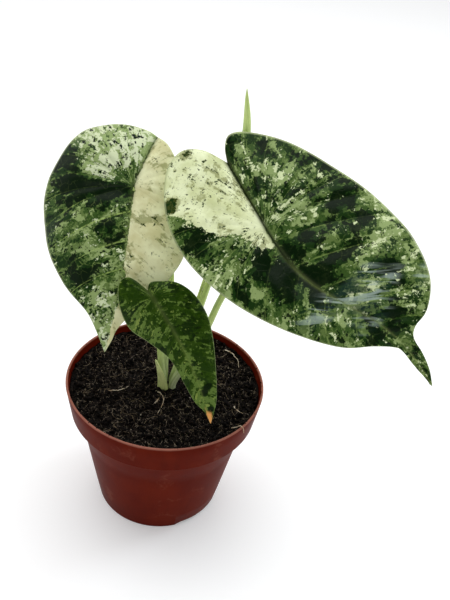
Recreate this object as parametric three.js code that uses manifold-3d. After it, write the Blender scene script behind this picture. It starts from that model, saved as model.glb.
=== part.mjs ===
// A young variegated alocasia in a round plastic nursery pot.
// Millimetres, +Z up. The origin is the centre of the pot's underside and -Y is the front.
import * as THREE from "three";
import { mergeVertices } from "three/addons/utils/BufferGeometryUtils.js";
import Module from "manifold-3d";

const wasm = await Module();
wasm.setup();

// ---------- driving dimensions ----------

// Pot: a tapered body under a wider collar
const POT_HEIGHT = 90;
const RIM_RADIUS = 60;
const COLLAR_HEIGHT = 20;
const COLLAR_FOOT_RADIUS = 57;
const BODY_TOP_RADIUS = 52;
const BASE_RADIUS = 38.5;
const POT_WALL = 1.4;
const FLOOR_THICKNESS = 1.8;
const RIM_ROUNDING = 0.5;

// Drainage: two shallow arches in the bottom edge and a ring of holes in the floor
const ARCH_HEIGHT = 3;
const ARCH_WIDTH = 34;
const ARCH_DEPTH = 8;
const ARCH_DIRECTIONS = [-41, 139];
const DRAIN_RADIUS = 3;
const DRAIN_CIRCLE = 22;
const DRAIN_COUNT = 6;

// Soil, measured down from the rim
const SOIL_BELOW_RIM = 7;
const MOUND_HEIGHT = 2.5;
const MOUND_RADIUS = 26;

// Rootstock, buried under the middle of the mound
const CROWN_RADIUS = 8;
const ROOTSTOCK_RADIUS = 11;
const ROOTSTOCK_LENGTH = 30;
const CROWN_BELOW_SOIL = 3;
const ROOT_COUNT = 5;
const ROOT_RADIUS = 1.5;
const ROOT_REACH = 24;
const ROOT_DROP = 26;

// Clearances
const FIT_GAP = 0.3;
const POCKET_GAP = 0.4;

// Stalks: they stand on the crown in a ring and thin out towards the blade
const PLANT_CENTRE = [1.5, 1];
const FOOT_DIRECTIONS = { right: -40, young: 50, left: 140, front: 225 };
const FOOT_RADIUS = 2.3;
const FOOT_RISE = 5;
const LEFT_STALK_RADIUS = 1.6;
const RIGHT_STALK_RADIUS = 1.7;
const FRONT_STALK_RADIUS = 1.2;
const NEW_STALK_RADIUS = 1.8;
const STALK_SEAT = 0.7;

// Rolled new leaf: the share of the way up at which stalk becomes blade, and how it comes to
// a point over its last share
const SPEAR_START = 0.48;
const SPEAR_RADIUS = 2.6;
const SPEAR_TAPER = 0.3;
const SPEAR_POINT = 0.7;
const SPEAR_SWELL = 0.35;

// Sheaths
const SHEATH_HEIGHT = 26;
const SHEATH_THICKNESS = 0.7;
const SHEATH_WRAP = 190;
const SHEATH_DIRECTION = 225;
const STRIP_WIDTH = 5;
const STRIP_THICKNESS = 1;
const STRIP_FROM = 0.2;
const STRIP_TO = 0.5;
const STRIP_DIRECTION = 143;

// Blades
const BLADE_THICKNESS = 0.8;
const SINUS_GAP = 0.8;
const VEIN_LEAD = 0.45;
const BLADE_ROWS = 26;
const BLADE_COLUMNS = 5;

// Surface roots
const STRAND_RADIUS = 0.45;

// ---------- leaves ----------
// "at" is the point where stalk and blade meet, [x, y, height above the rim].
// "facing" turns the upper face: azimuth from the front towards +X, elevation, and how far the
// tip swings from straight down towards the leaf's right.
// A margin runs from the tip round the lobe to the notch, as shares of half width and length.
// "form" is each half's cross section: valley beside the midrib, slope, and droop at the edge.

const LEFT_LEAF = {
  at: [-26, 12, 121.5],
  facing: [-14, 40, 4],
  length: 90,
  halfWidth: 50,
  sway: [3, 0],
  arch: [13, 7],
  lobes: 32,
  form: { left: [0.05, 0.1, 0.34], right: [0.08, -0.46, 0.02] },
  notch: [0.1, -0.34],
  left: [
    [-0.09, 0.91], [-0.26, 0.78], [-0.6, 0.64], [-0.91, 0.42], [-1.07, 0.17],
    [-1.04, -0.07], [-0.81, -0.31], [-0.42, -0.38], [-0.05, -0.37],
  ],
  right: [
    [0.06, 0.93], [0.1, 0.85], [0.24, 0.74], [0.48, 0.57], [0.63, 0.38],
    [0.66, 0.2], [0.58, 0.02], [0.44, -0.15], [0.26, -0.29],
  ],
};

const RIGHT_LEAF = {
  at: [46.5, -14, 120],
  facing: [-8, 43, 58],
  length: 115,
  halfWidth: 50,
  sway: [0, -5],
  arch: [10, 5],
  lobes: 52,
  form: { left: [0.05, 0.08, 0.2], right: [0.05, 0.08, 0.18] },
  notch: [0.25, -0.35],
  left: [
    [0.02, 0.89], [0.045, 0.8], [0.01, 0.765], [-0.13, 0.7], [-0.38, 0.59], [-0.65, 0.35], [-0.8, 0.08],
    [-0.79, -0.17], [-0.62, -0.37], [-0.3, -0.52], [-0.02, -0.55], [0.16, -0.48],
  ],
  right: [
    [0.1, 0.94], [0.17, 0.87], [0.22, 0.8], [0.31, 0.77], [0.52, 0.755], [0.8, 0.66], [0.98, 0.48],
    [1.03, 0.28], [0.97, 0.04], [0.82, -0.21], [0.65, -0.36], [0.49, -0.43], [0.36, -0.41],
  ],
};

const FRONT_LEAF = {
  at: [-8, -28, 78.7],
  facing: [6, 34, 28],
  length: 75.3,
  halfWidth: 21.2,
  sway: [3.4, 0],
  arch: [7.7, 2],
  lobes: 11.6,
  form: { left: [0.08, -0.15, 0.15], right: [0.08, -0.2, 0.2] },
  notch: [-0.04, -0.06],
  left: [
    [-0.02, 0.9], [-0.14, 0.8], [-0.18, 0.65], [-0.25, 0.45], [-0.55, 0.28],
    [-0.85, 0.13], [-0.83, -0.05], [-0.6, -0.19], [-0.3, -0.19],
  ],
  right: [
    [0.2, 0.93], [0.4, 0.85], [0.66, 0.68], [0.95, 0.45], [1.07, 0.27],
    [0.98, 0.1], [0.72, -0.02], [0.35, -0.08], [0.1, -0.1],
  ],
};

// ---------- heights that follow ----------

const COLLAR_FOOT_Z = POT_HEIGHT - COLLAR_HEIGHT;
const SOIL_Z = POT_HEIGHT - SOIL_BELOW_RIM;
const CROWN_Z = SOIL_Z + MOUND_HEIGHT - CROWN_BELOW_SOIL;

// ---------- the ring of stalk feet, just wide enough for the two closest neighbours ----------

const footTurns = Object.values(FOOT_DIRECTIONS);
const footSteps = footTurns.map((turn, i) => {
  const next = footTurns[(i + 1) % footTurns.length];
  return (next - turn + 360) % 360;
});
const closestHalfStep = THREE.MathUtils.degToRad(Math.min(...footSteps) / 2);
const FOOT_RING = (FOOT_RADIUS + FIT_GAP / 2) / Math.sin(closestHalfStep);

// ---------- small helpers ----------

function material(color, roughness) {
  return new THREE.MeshStandardMaterial({ color, roughness, metalness: 0 });
}

function piece(name, geometry, finish) {
  const mesh = new THREE.Mesh(geometry, finish);
  mesh.name = name;
  return mesh;
}

function solidOf(geometry) {
  const plain = geometry.clone();
  plain.deleteAttribute("normal");
  plain.deleteAttribute("uv");
  const merged = mergeVertices(plain, 1e-4);
  const vertProperties = new Float32Array(merged.attributes.position.array);
  const triVerts = new Uint32Array(merged.index.array);
  return new wasm.Manifold(new wasm.Mesh({ numProp: 3, vertProperties, triVerts }));
}

function geometryOf(solid) {
  const mesh = solid.getMesh();
  const geometry = new THREE.BufferGeometry();
  geometry.setAttribute("position", new THREE.BufferAttribute(mesh.vertProperties, 3));
  geometry.setIndex(new THREE.BufferAttribute(mesh.triVerts, 1));
  return geometry;
}

// A lathe about Z from [radius, height] pairs that start and end on the axis.
function turned(profile, segments) {
  const points = profile.map(([r, z]) => new THREE.Vector2(r, z));
  return new THREE.LatheGeometry(points, segments).rotateX(Math.PI / 2);
}

function curveThrough(points) {
  return new THREE.CatmullRomCurve3(points.map((p) => new THREE.Vector3(...p)));
}

// A closed round stalk along a curve, or along the stretch of it between two shares. radiusAt
// gives the radius at a share of the stretch. "across" is the section's width direction, and
// flat squeezes the other one.
function stalk(curve, radiusAt, shape = {}) {
  const { steps = 10, sides = 8, flat = 1, across = [1, 0, 0], from = 0, to = 1 } = shape;
  const profile = [new THREE.Vector2(0, 0)];
  for (let i = 0; i <= steps; i += 1) {
    profile.push(new THREE.Vector2(1, i / steps));
  }
  profile.push(new THREE.Vector2(0, 1));
  const geometry = new THREE.LatheGeometry(profile, sides);
  const position = geometry.attributes.position;
  const reference = new THREE.Vector3(...across);
  for (let i = 0; i < position.count; i += 1) {
    const share = position.getY(i);
    const place = THREE.MathUtils.lerp(from, to, share);
    const centre = curve.getPointAt(place);
    const tangent = curve.getTangentAt(place);
    const depth = new THREE.Vector3().crossVectors(reference, tangent).normalize();
    const width = new THREE.Vector3().crossVectors(tangent, depth);
    const radius = radiusAt(share);
    centre.addScaledVector(width, position.getX(i) * radius);
    centre.addScaledVector(depth, position.getZ(i) * radius * flat);
    position.setXYZ(i, centre.x, centre.y, centre.z);
  }
  return geometry;
}

function taper(from, to) {
  return (share) => THREE.MathUtils.lerp(from, to, share);
}

// ---------- pot ----------

function bodyRadiusAt(z) {
  return THREE.MathUtils.mapLinear(z, 0, COLLAR_FOOT_Z, BASE_RADIUS, BODY_TOP_RADIUS);
}

function collarRadiusAt(z) {
  return THREE.MathUtils.mapLinear(z, COLLAR_FOOT_Z, POT_HEIGHT, COLLAR_FOOT_RADIUS, RIM_RADIUS);
}

// Radius of the pot's inner surface at a height, with the step behind the collar's foot.
function innerRadiusAt(z) {
  const outside = z < COLLAR_FOOT_Z + POT_WALL ? bodyRadiusAt(z) : collarRadiusAt(z);
  return outside - POT_WALL;
}

function pot() {
  const stepZ = COLLAR_FOOT_Z + POT_WALL;
  const shell = turned([
    [0, 0],
    [BASE_RADIUS - RIM_ROUNDING, 0],
    [bodyRadiusAt(RIM_ROUNDING), RIM_ROUNDING],
    [BODY_TOP_RADIUS, COLLAR_FOOT_Z],
    [COLLAR_FOOT_RADIUS - RIM_ROUNDING, COLLAR_FOOT_Z],
    [COLLAR_FOOT_RADIUS, COLLAR_FOOT_Z + RIM_ROUNDING],
    [collarRadiusAt(POT_HEIGHT - RIM_ROUNDING), POT_HEIGHT - RIM_ROUNDING],
    [RIM_RADIUS - RIM_ROUNDING, POT_HEIGHT],
    [RIM_RADIUS - POT_WALL, POT_HEIGHT],
    [collarRadiusAt(stepZ) - POT_WALL, stepZ],
    [bodyRadiusAt(stepZ) - POT_WALL, stepZ],
    [bodyRadiusAt(FLOOR_THICKNESS) - POT_WALL, FLOOR_THICKNESS],
    [0, FLOOR_THICKNESS],
  ], 56);
  let solid = solidOf(shell);
  for (const direction of ARCH_DIRECTIONS) {
    solid = solid.subtract(solidOf(archCutter(direction)));
  }
  for (let i = 0; i < DRAIN_COUNT; i += 1) {
    solid = solid.subtract(solidOf(drainCutter((i / DRAIN_COUNT) * 2 * Math.PI)));
  }
  return geometryOf(solid);
}

// A flat-topped arch that opens the corner between wall and floor.
function archCutter(direction) {
  const half = ARCH_WIDTH / 2;
  const outline = new THREE.Shape();
  outline.moveTo(-half, -1);
  outline.lineTo(half, -1);
  outline.lineTo(half, 0);
  outline.quadraticCurveTo(half * 0.85, ARCH_HEIGHT, half * 0.6, ARCH_HEIGHT);
  outline.lineTo(-half * 0.6, ARCH_HEIGHT);
  outline.quadraticCurveTo(-half * 0.85, ARCH_HEIGHT, -half, 0);
  const cutter = new THREE.ExtrudeGeometry(outline, {
    depth: ARCH_DEPTH,
    bevelEnabled: false,
    curveSegments: 4,
  });
  cutter.rotateX(Math.PI / 2);
  cutter.rotateZ(Math.PI / 2);
  cutter.translate(BASE_RADIUS - ARCH_DEPTH / 2, 0, 0);
  return cutter.rotateZ(THREE.MathUtils.degToRad(direction));
}

function drainCutter(angle) {
  const cutter = new THREE.CylinderGeometry(DRAIN_RADIUS, DRAIN_RADIUS, FLOOR_THICKNESS * 3, 12);
  cutter.rotateX(Math.PI / 2);
  return cutter.translate(DRAIN_CIRCLE * Math.cos(angle), DRAIN_CIRCLE * Math.sin(angle), 0);
}

// ---------- soil and rootstock ----------

// Height of the soil's surface at a distance from the middle.
function soilHeightAt(radius) {
  return SOIL_Z + MOUND_HEIGHT * Math.exp(-((radius / MOUND_RADIUS) ** 2));
}

// The rootstock is a blunt corm with a few stout roots. "grow" thickens it all round, which
// gives the pocket it fills in the soil.
function rootstock(grow) {
  const bottom = CROWN_Z - ROOTSTOCK_LENGTH;
  const corm = turned([
    [0, bottom - grow],
    [ROOTSTOCK_RADIUS * 0.55 + grow, bottom - grow],
    [ROOTSTOCK_RADIUS + grow, bottom + ROOTSTOCK_LENGTH * 0.35],
    [ROOTSTOCK_RADIUS + grow, bottom + ROOTSTOCK_LENGTH * 0.6],
    [CROWN_RADIUS + grow, CROWN_Z - 3],
    [CROWN_RADIUS + grow, CROWN_Z],
    [0, CROWN_Z],
  ], 20);
  let solid = solidOf(corm);
  for (let i = 0; i < ROOT_COUNT; i += 1) {
    const angle = ((i + 0.4) / ROOT_COUNT) * 2 * Math.PI;
    const start = CROWN_Z - ROOTSTOCK_LENGTH * 0.5;
    const route = [[ROOTSTOCK_RADIUS * 0.5, 0], [ROOT_REACH * 0.7, -ROOT_DROP * 0.25],
      [ROOT_REACH, -ROOT_DROP - grow]];
    const points = route.map(([r, drop]) => [
      r * Math.cos(angle), r * Math.sin(angle), start + drop,
    ]);
    const across = [-Math.sin(angle), Math.cos(angle), 0];
    const root = stalk(curveThrough(points), taper(ROOT_RADIUS + grow, ROOT_RADIUS * 0.6 + grow),
      { steps: 6, sides: 6, across });
    solid = solid.add(solidOf(root));
  }
  return solid;
}

function soil() {
  const stepZ = COLLAR_FOOT_Z + POT_WALL + FIT_GAP;
  const bottom = FLOOR_THICKNESS + FIT_GAP;
  const edgeZ = soilHeightAt(innerRadiusAt(SOIL_Z));
  const profile = [
    [0, bottom],
    [innerRadiusAt(bottom) - FIT_GAP, bottom],
    [bodyRadiusAt(stepZ) - POT_WALL - FIT_GAP * 2, stepZ],
    [collarRadiusAt(stepZ) - POT_WALL - FIT_GAP * 2, stepZ],
    [innerRadiusAt(SOIL_Z) - FIT_GAP, edgeZ],
  ];
  for (const share of [0.8, 0.62, 0.46, 0.32, 0.2]) {
    const radius = share * innerRadiusAt(SOIL_Z);
    profile.push([radius, soilHeightAt(radius)]);
  }
  profile.push([0, soilHeightAt(0)]);
  const neck = new THREE.CylinderGeometry(
    CROWN_RADIUS + POCKET_GAP, CROWN_RADIUS + POCKET_GAP, CROWN_BELOW_SOIL * 2 + 2, 20);
  neck.rotateX(Math.PI / 2);
  neck.translate(0, 0, CROWN_Z + CROWN_BELOW_SOIL);
  const mass = solidOf(turned(profile, 48));
  const pocket = rootstock(POCKET_GAP).add(solidOf(neck)).translate([...PLANT_CENTRE, 0]);
  return geometryOf(mass.subtract(pocket));
}

// ---------- blades ----------

// A blade's own axes in the world: right, towards the tip, and out of the upper face.
function bladeFrame(leaf) {
  const [azimuth, elevation, swing] = leaf.facing.map(THREE.MathUtils.degToRad);
  const out = new THREE.Vector3(
    Math.sin(azimuth) * Math.cos(elevation),
    -Math.cos(azimuth) * Math.cos(elevation),
    Math.sin(elevation),
  );
  const level = new THREE.Vector3(Math.cos(azimuth), Math.sin(azimuth), 0);
  const up = new THREE.Vector3().crossVectors(out, level);
  const tipward = level.clone().multiplyScalar(Math.sin(swing));
  tipward.addScaledVector(up, -Math.cos(swing));
  const right = level.clone().multiplyScalar(Math.cos(swing));
  right.addScaledVector(up, Math.sin(swing));
  const origin = new THREE.Vector3(leaf.at[0], leaf.at[1], POT_HEIGHT + leaf.at[2]);
  return { origin, right, tipward, out };
}

// The midrib's sideways place at a distance y from the stalk; behind it, the line to the notch.
function axisAt(leaf, y) {
  if (y < 0) {
    return (leaf.notch[0] * leaf.halfWidth * y) / (leaf.notch[1] * leaf.length);
  }
  const share = Math.min(y / leaf.length, 1);
  return leaf.sway[0] * Math.sin(Math.PI * share) + leaf.sway[1] * Math.sin(2 * Math.PI * share);
}

// How far the blade stands out of its flat plane at (x, y).
function reliefAt(leaf, x, y) {
  const bend = y > 0 ? leaf.arch[0] * (y / leaf.length) ** 2 : leaf.arch[1] * (y / leaf.lobes) ** 2;
  const side = x - axisAt(leaf, y);
  const [valley, slope, droop] = side < 0 ? leaf.form.left : leaf.form.right;
  const u = Math.abs(side) / leaf.halfWidth;
  const section = valley * (1 - Math.exp(-u / 0.18)) + slope * u - droop * u * u;
  return leaf.halfWidth * section - bend;
}

function marginCurve(leaf, side) {
  const gap = (side === "left" ? -0.5 : 0.5) * SINUS_GAP;
  const scaled = leaf[side].map(([x, y]) => new THREE.Vector2(x * leaf.halfWidth, y * leaf.length));
  const notch = new THREE.Vector2(
    leaf.notch[0] * leaf.halfWidth + gap, leaf.notch[1] * leaf.length);
  return new THREE.SplineCurve([new THREE.Vector2(0, leaf.length), ...scaled, notch]);
}

// The point on the midrib from which a side vein runs to a margin point.
function veinFoot(leaf, edge) {
  const y = edge.y - VEIN_LEAD * Math.abs(edge.x - axisAt(leaf, edge.y));
  const reach = THREE.MathUtils.clamp(y, 0, leaf.length);
  return new THREE.Vector2(axisAt(leaf, reach), reach);
}

// Upper or lower skin of a blade: rows run from the tip round to the notch, and columns from
// the left margin over the midrib to the right margin.
function bladeSkin(leaf, frame, offset) {
  const points = [];
  for (let row = 0; row <= BLADE_ROWS; row += 1) {
    for (let column = -BLADE_COLUMNS; column <= BLADE_COLUMNS; column += 1) {
      const margin = marginCurve(leaf, column < 0 ? "left" : "right");
      const edge = margin.getPointAt(row / BLADE_ROWS);
      const flat = veinFoot(leaf, edge).lerp(edge, Math.abs(column) / BLADE_COLUMNS);
      const point = frame.origin.clone();
      point.addScaledVector(frame.right, flat.x);
      point.addScaledVector(frame.tipward, flat.y);
      point.addScaledVector(frame.out, reliefAt(leaf, flat.x, flat.y) + offset);
      points.push(point);
    }
  }
  return points;
}

function blade(leaf) {
  const frame = bladeFrame(leaf);
  const upper = bladeSkin(leaf, frame, BLADE_THICKNESS / 2);
  const lower = bladeSkin(leaf, frame, -BLADE_THICKNESS / 2);
  const width = 2 * BLADE_COLUMNS + 1;
  const corners = [];
  const triangle = (a, b, c) => {
    const sides = [a.distanceTo(b), b.distanceTo(c), c.distanceTo(a)];
    if (Math.min(...sides) > 1e-3) {
      corners.push(a, b, c);
    }
  };
  const quad = (a, b, c, d) => {
    triangle(c, b, a);
    triangle(d, c, a);
  };
  for (let row = 0; row < BLADE_ROWS; row += 1) {
    const here = row * width;
    const next = here + width;
    for (let i = 0; i < width - 1; i += 1) {
      quad(upper[here + i], upper[next + i], upper[next + i + 1], upper[here + i + 1]);
      quad(lower[here + i + 1], lower[next + i + 1], lower[next + i], lower[here + i]);
    }
    const end = width - 1;
    quad(upper[here], lower[here], lower[next], upper[next]);
    quad(upper[next + end], lower[next + end], lower[here + end], upper[here + end]);
  }
  const last = BLADE_ROWS * width;
  for (let i = last; i < last + width - 1; i += 1) {
    quad(upper[i], lower[i], lower[i + 1], upper[i + 1]);
  }
  return new THREE.BufferGeometry().setFromPoints(corners);
}

// ---------- stalks ----------

// The two lowest points of a stalk, which rises straight from the crown.
function footOf(direction) {
  const angle = THREE.MathUtils.degToRad(direction);
  const x = PLANT_CENTRE[0] + FOOT_RING * Math.cos(angle);
  const y = PLANT_CENTRE[1] + FOOT_RING * Math.sin(angle);
  return [[x, y, CROWN_Z + FIT_GAP], [x, y, CROWN_Z + FIT_GAP + FOOT_RISE]];
}

function aboveRim([x, y, height]) {
  return [x, y, POT_HEIGHT + height];
}

// The stalk's route from its foot through hand-set points to just past the blade's underside.
function stalkRoute(direction, via, leaf) {
  const end = bladeFrame(leaf);
  const past = end.origin.clone().addScaledVector(end.out, BLADE_THICKNESS);
  return curveThrough([...footOf(direction), ...via.map(aboveRim), past.toArray()]);
}

// A stalk whose top is cut parallel to the underside of the blade that it carries.
function seatedStalk(route, radius, leaf) {
  const solid = solidOf(stalk(route, taper(FOOT_RADIUS, radius), { steps: 14 }));
  const frame = bladeFrame(leaf);
  const axes = new THREE.Matrix4().makeBasis(frame.right, frame.tipward, frame.out.clone().negate());
  const slab = new THREE.BoxGeometry(20, 20, 20);
  slab.applyMatrix4(axes);
  const centre = frame.origin.clone();
  centre.addScaledVector(frame.out, 10 - BLADE_THICKNESS / 2 - STALK_SEAT);
  slab.translate(centre.x, centre.y, centre.z);
  return geometryOf(solid.subtract(solidOf(slab)));
}

// ---------- rolled leaf and sheaths ----------

// One route carries the youngest stalk and, above it, the rolled blade.
const NEW_LEAF_VIA = [[10.5, 7.5, 25], [18.6, 13, 60], [25, 19, 95], [31, 28, 150], [28.4, 31, 176]];
const newRoute = curveThrough([...footOf(FOOT_DIRECTIONS.young), ...NEW_LEAF_VIA.map(aboveRim)]);

function spearRadiusAt(share) {
  const swell = THREE.MathUtils.smoothstep(share, 0, SPEAR_SWELL);
  const body = THREE.MathUtils.lerp(NEW_STALK_RADIUS, SPEAR_RADIUS, swell);
  const point = Math.sin((Math.PI / 2) * Math.min(1, (1 - share) / SPEAR_TAPER)) ** SPEAR_POINT;
  return Math.max(body * point, 0.2);
}

function newStalk() {
  return stalk(newRoute, taper(FOOT_RADIUS, NEW_STALK_RADIUS), { steps: 12, to: SPEAR_START });
}

function rolledLeaf() {
  const gap = FIT_GAP / newRoute.getLength();
  return stalk(newRoute, spearRadiusAt, { steps: 16, sides: 10, from: SPEAR_START + gap });
}

// A half-tube round the outer side of the front stalk's foot, narrowing to a point.
function baseSheath(route) {
  const inner = FOOT_RADIUS + FIT_GAP;
  const half = THREE.MathUtils.degToRad(SHEATH_WRAP / 2);
  const outline = new THREE.Shape();
  outline.absarc(0, 0, inner + SHEATH_THICKNESS, -half, half, false);
  outline.absarc(0, 0, inner, half, -half, true);
  const geometry = new THREE.ExtrudeGeometry(outline, {
    depth: 1, steps: 8, bevelEnabled: false, curveSegments: 10,
  });
  const position = geometry.attributes.position;
  const middle = THREE.MathUtils.degToRad(SHEATH_DIRECTION);
  const reach = SHEATH_HEIGHT / route.getLength();
  for (let i = 0; i < position.count; i += 1) {
    const share = position.getZ(i);
    const radius = Math.hypot(position.getX(i), position.getY(i));
    const spread = 1 - 0.85 * share * share;
    const angle = middle + Math.atan2(position.getY(i), position.getX(i)) * spread;
    const centre = route.getPointAt(share * reach);
    position.setXYZ(i, centre.x + radius * Math.cos(angle), centre.y + radius * Math.sin(angle),
      centre.z);
  }
  return geometry;
}

// A thin tapering strip that lies against the youngest stalk.
function stripSheath() {
  const away = THREE.MathUtils.degToRad(STRIP_DIRECTION);
  const offset = NEW_STALK_RADIUS + FIT_GAP * 2 + STRIP_THICKNESS / 2;
  const points = [];
  for (let i = 0; i <= 5; i += 1) {
    const point = newRoute.getPointAt(THREE.MathUtils.lerp(STRIP_FROM, STRIP_TO, i / 5));
    point.x += offset * Math.cos(away);
    point.y += offset * Math.sin(away);
    points.push(point.toArray());
  }
  const radiusAt = (share) => (STRIP_WIDTH / 2) * (0.35 + 0.65 * Math.sin(Math.PI * share) ** 0.6);
  return stalk(curveThrough(points), radiusAt, {
    steps: 8,
    sides: 8,
    flat: STRIP_THICKNESS / STRIP_WIDTH,
    across: [Math.sin(away), -Math.cos(away), 0],
  });
}

// ---------- surface roots ----------

// Thin roots lying on the soil, as [x, y] points from one end to the other.
const SURFACE_ROOTS = {
  root_strand_fork: [[-5, -7], [0, -11.5], [0.5, -18], [-1.5, -26]],
  root_strand_branch: [[-2, -14], [-4, -18], [-7, -21]],
  root_strand_right: [[43, -10], [46, -15], [49.5, -18]],
  root_strand_back: [[34, 41], [39, 38], [43, 32], [44, 26]],
  root_strand_left: [[-33, -10], [-27, -9], [-22, -5]],
};

function groundStrand(route) {
  const plan = new THREE.SplineCurve(route.map(([x, y]) => new THREE.Vector2(x, y)));
  const points = plan.getSpacedPoints(7).map(({ x, y }) => {
    return [x, y, soilHeightAt(Math.hypot(x, y)) + STRAND_RADIUS + FIT_GAP];
  });
  return stalk(curveThrough(points), () => STRAND_RADIUS, { steps: 8, sides: 5, across: [0, 0, 1] });
}

// One root has grown over the rim: [distance from the rim's outer edge, height above the rim].
function rimStrand() {
  const angle = THREE.MathUtils.degToRad(-36);
  const route = [[-7, -4.6], [-3.6, -1.6], [-1.4, 1], [0.6, 0.9], [1.8, -2.5]];
  const points = route.map(([out, height]) => [
    (RIM_RADIUS + out) * Math.cos(angle), (RIM_RADIUS + out) * Math.sin(angle), POT_HEIGHT + height,
  ]);
  const across = [-Math.sin(angle), Math.cos(angle), 0];
  return stalk(curveThrough(points), () => STRAND_RADIUS, { steps: 10, sides: 5, across });
}

// ---------- the plant ----------

const terracotta = material(0x7b3420, 0.45);
const peat = material(0x17110d, 1);
const corm = material(0x6b4a2e, 0.9);
const stalkGreen = material(0x7f9a48, 0.5);
const paleSheath = material(0xa9b07a, 0.6);
const leafCream = material(0x6f8a55, 0.4);
const leafGreen = material(0x3f6b3a, 0.35);
const leafDark = material(0x2c4f24, 0.35);
const rootPale = material(0xb59f80, 0.8);

const LEFT_VIA = [[-2.4, 8, 22], [-2.5, 14, 65], [-7, 17, 92], [-17, 16.5, 112]];
const RIGHT_VIA = [[12.5, 0, 17], [21.5, 0, 42], [27, -1, 62], [37, -5, 92]];
const FRONT_VIA = [[-3, -4.5, 15], [-5, -9, 38], [-7, -18, 62]];
const leftRoute = stalkRoute(FOOT_DIRECTIONS.left, LEFT_VIA, LEFT_LEAF);
const rightRoute = stalkRoute(FOOT_DIRECTIONS.right, RIGHT_VIA, RIGHT_LEAF);
const frontRoute = stalkRoute(FOOT_DIRECTIONS.front, FRONT_VIA, FRONT_LEAF);

const plant = new THREE.Group();
plant.add(
  piece("pot", pot(), terracotta),
  piece("soil", soil(), peat),
  piece("rootstock", geometryOf(rootstock(0).translate([...PLANT_CENTRE, 0])), corm),
  piece("petiole_left", seatedStalk(leftRoute, LEFT_STALK_RADIUS, LEFT_LEAF), stalkGreen),
  piece("petiole_right", seatedStalk(rightRoute, RIGHT_STALK_RADIUS, RIGHT_LEAF), stalkGreen),
  piece("petiole_front", seatedStalk(frontRoute, FRONT_STALK_RADIUS, FRONT_LEAF), stalkGreen),
  piece("petiole_new", newStalk(), stalkGreen),
  piece("leaf_new_rolled", rolledLeaf(), stalkGreen),
  piece("sheath_base", baseSheath(frontRoute), paleSheath),
  piece("sheath_new", stripSheath(), paleSheath),
  piece("leaf_left", blade(LEFT_LEAF), leafCream),
  piece("leaf_right", blade(RIGHT_LEAF), leafGreen),
  piece("leaf_front", blade(FRONT_LEAF), leafDark),
  piece("root_strand_rim", rimStrand(), rootPale),
);
for (const [name, route] of Object.entries(SURFACE_ROOTS)) {
  plant.add(piece(name, groundStrand(route), rootPale));
}

export default plant;
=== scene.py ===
# A young variegated alocasia in a brown plastic nursery pot.
# Metres, +Z up. The origin is the centre of the pot's underside and -Y is the front.
import math
from random import Random

import bmesh
import bpy
from mathutils import Matrix, Vector, noise


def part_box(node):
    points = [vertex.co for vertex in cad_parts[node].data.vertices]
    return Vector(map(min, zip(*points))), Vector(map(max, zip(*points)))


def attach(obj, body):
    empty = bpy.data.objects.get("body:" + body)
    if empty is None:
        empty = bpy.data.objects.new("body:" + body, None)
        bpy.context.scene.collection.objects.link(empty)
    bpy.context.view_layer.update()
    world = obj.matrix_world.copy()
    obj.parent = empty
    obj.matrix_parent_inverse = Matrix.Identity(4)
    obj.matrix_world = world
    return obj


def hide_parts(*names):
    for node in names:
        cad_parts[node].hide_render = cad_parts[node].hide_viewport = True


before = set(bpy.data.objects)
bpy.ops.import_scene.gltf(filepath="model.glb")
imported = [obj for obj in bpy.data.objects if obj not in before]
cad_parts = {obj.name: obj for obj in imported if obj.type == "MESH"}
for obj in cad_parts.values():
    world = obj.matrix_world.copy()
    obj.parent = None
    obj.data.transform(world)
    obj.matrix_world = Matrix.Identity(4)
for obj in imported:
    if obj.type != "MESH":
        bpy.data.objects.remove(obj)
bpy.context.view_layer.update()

MM = 0.001

# ---------- sizes that come from the frame ----------

pot_low, pot_high = (Vector(corner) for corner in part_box("pot"))
RIM_Z = pot_high.z
RIM_RADIUS = (pot_high.x - pot_low.x) / 2
CROWN_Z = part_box("rootstock")[1][2]

# ---------- pot ----------

COLLAR_HEIGHT = 20 * MM
COLLAR_FOOT_RADIUS = RIM_RADIUS - 3 * MM
BODY_TOP_RADIUS = RIM_RADIUS - 8 * MM
BASE_RADIUS = 38.5 * MM
POT_WALL = 1.4 * MM
FLOOR_THICKNESS = 1.8 * MM
ARCH_HEIGHT = 3 * MM
ARCH_WIDTH = 34 * MM
ARCH_DEPTH = 8 * MM
ARCH_DIRECTIONS = (-41, 139)
DRAIN_RADIUS = 3 * MM
DRAIN_CIRCLE = 22 * MM
DRAIN_COUNT = 6
DRAIN_SIDES = 28
POT_SIDES = 192
FOOT_ROUNDING = 0.9 * MM
LEDGE_ROUNDING = 1.0 * MM
WALL_HEIGHTS = (12, 30, 50)

# ---------- soil ----------

SOIL_BELOW_RIM = 7 * MM
SOIL_Z = RIM_Z - SOIL_BELOW_RIM
MOUND_HEIGHT = 2.5 * MM
MOUND_RADIUS = 26 * MM
BANK_HEIGHT = 2.4 * MM
BANK_START = 54 * MM
BANK_SOFTNESS = 1.2 * MM
LUMP_HEIGHT = 1.3 * MM
LUMP_RATE = 150
GRIT_HEIGHT = 0.45 * MM
GRIT_RATE = 700
SOIL_GAP = 0.05 * MM
SOIL_SIDES = 180
SOIL_RINGS = 58
CRUMB_COUNT = 2600
CRUMB_REACH = 56.5 * MM
FIBRE_COUNT = 1700
FIBRE_REACH = 55 * MM
FIBRE_STEPS = 5
HAIR_COUNT = 200
FLECK_COUNT = 60
RIM_CRUMB_COUNT = 70
STALKS_CLEARANCE = 7.5 * MM

# ---------- plant ----------

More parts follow.
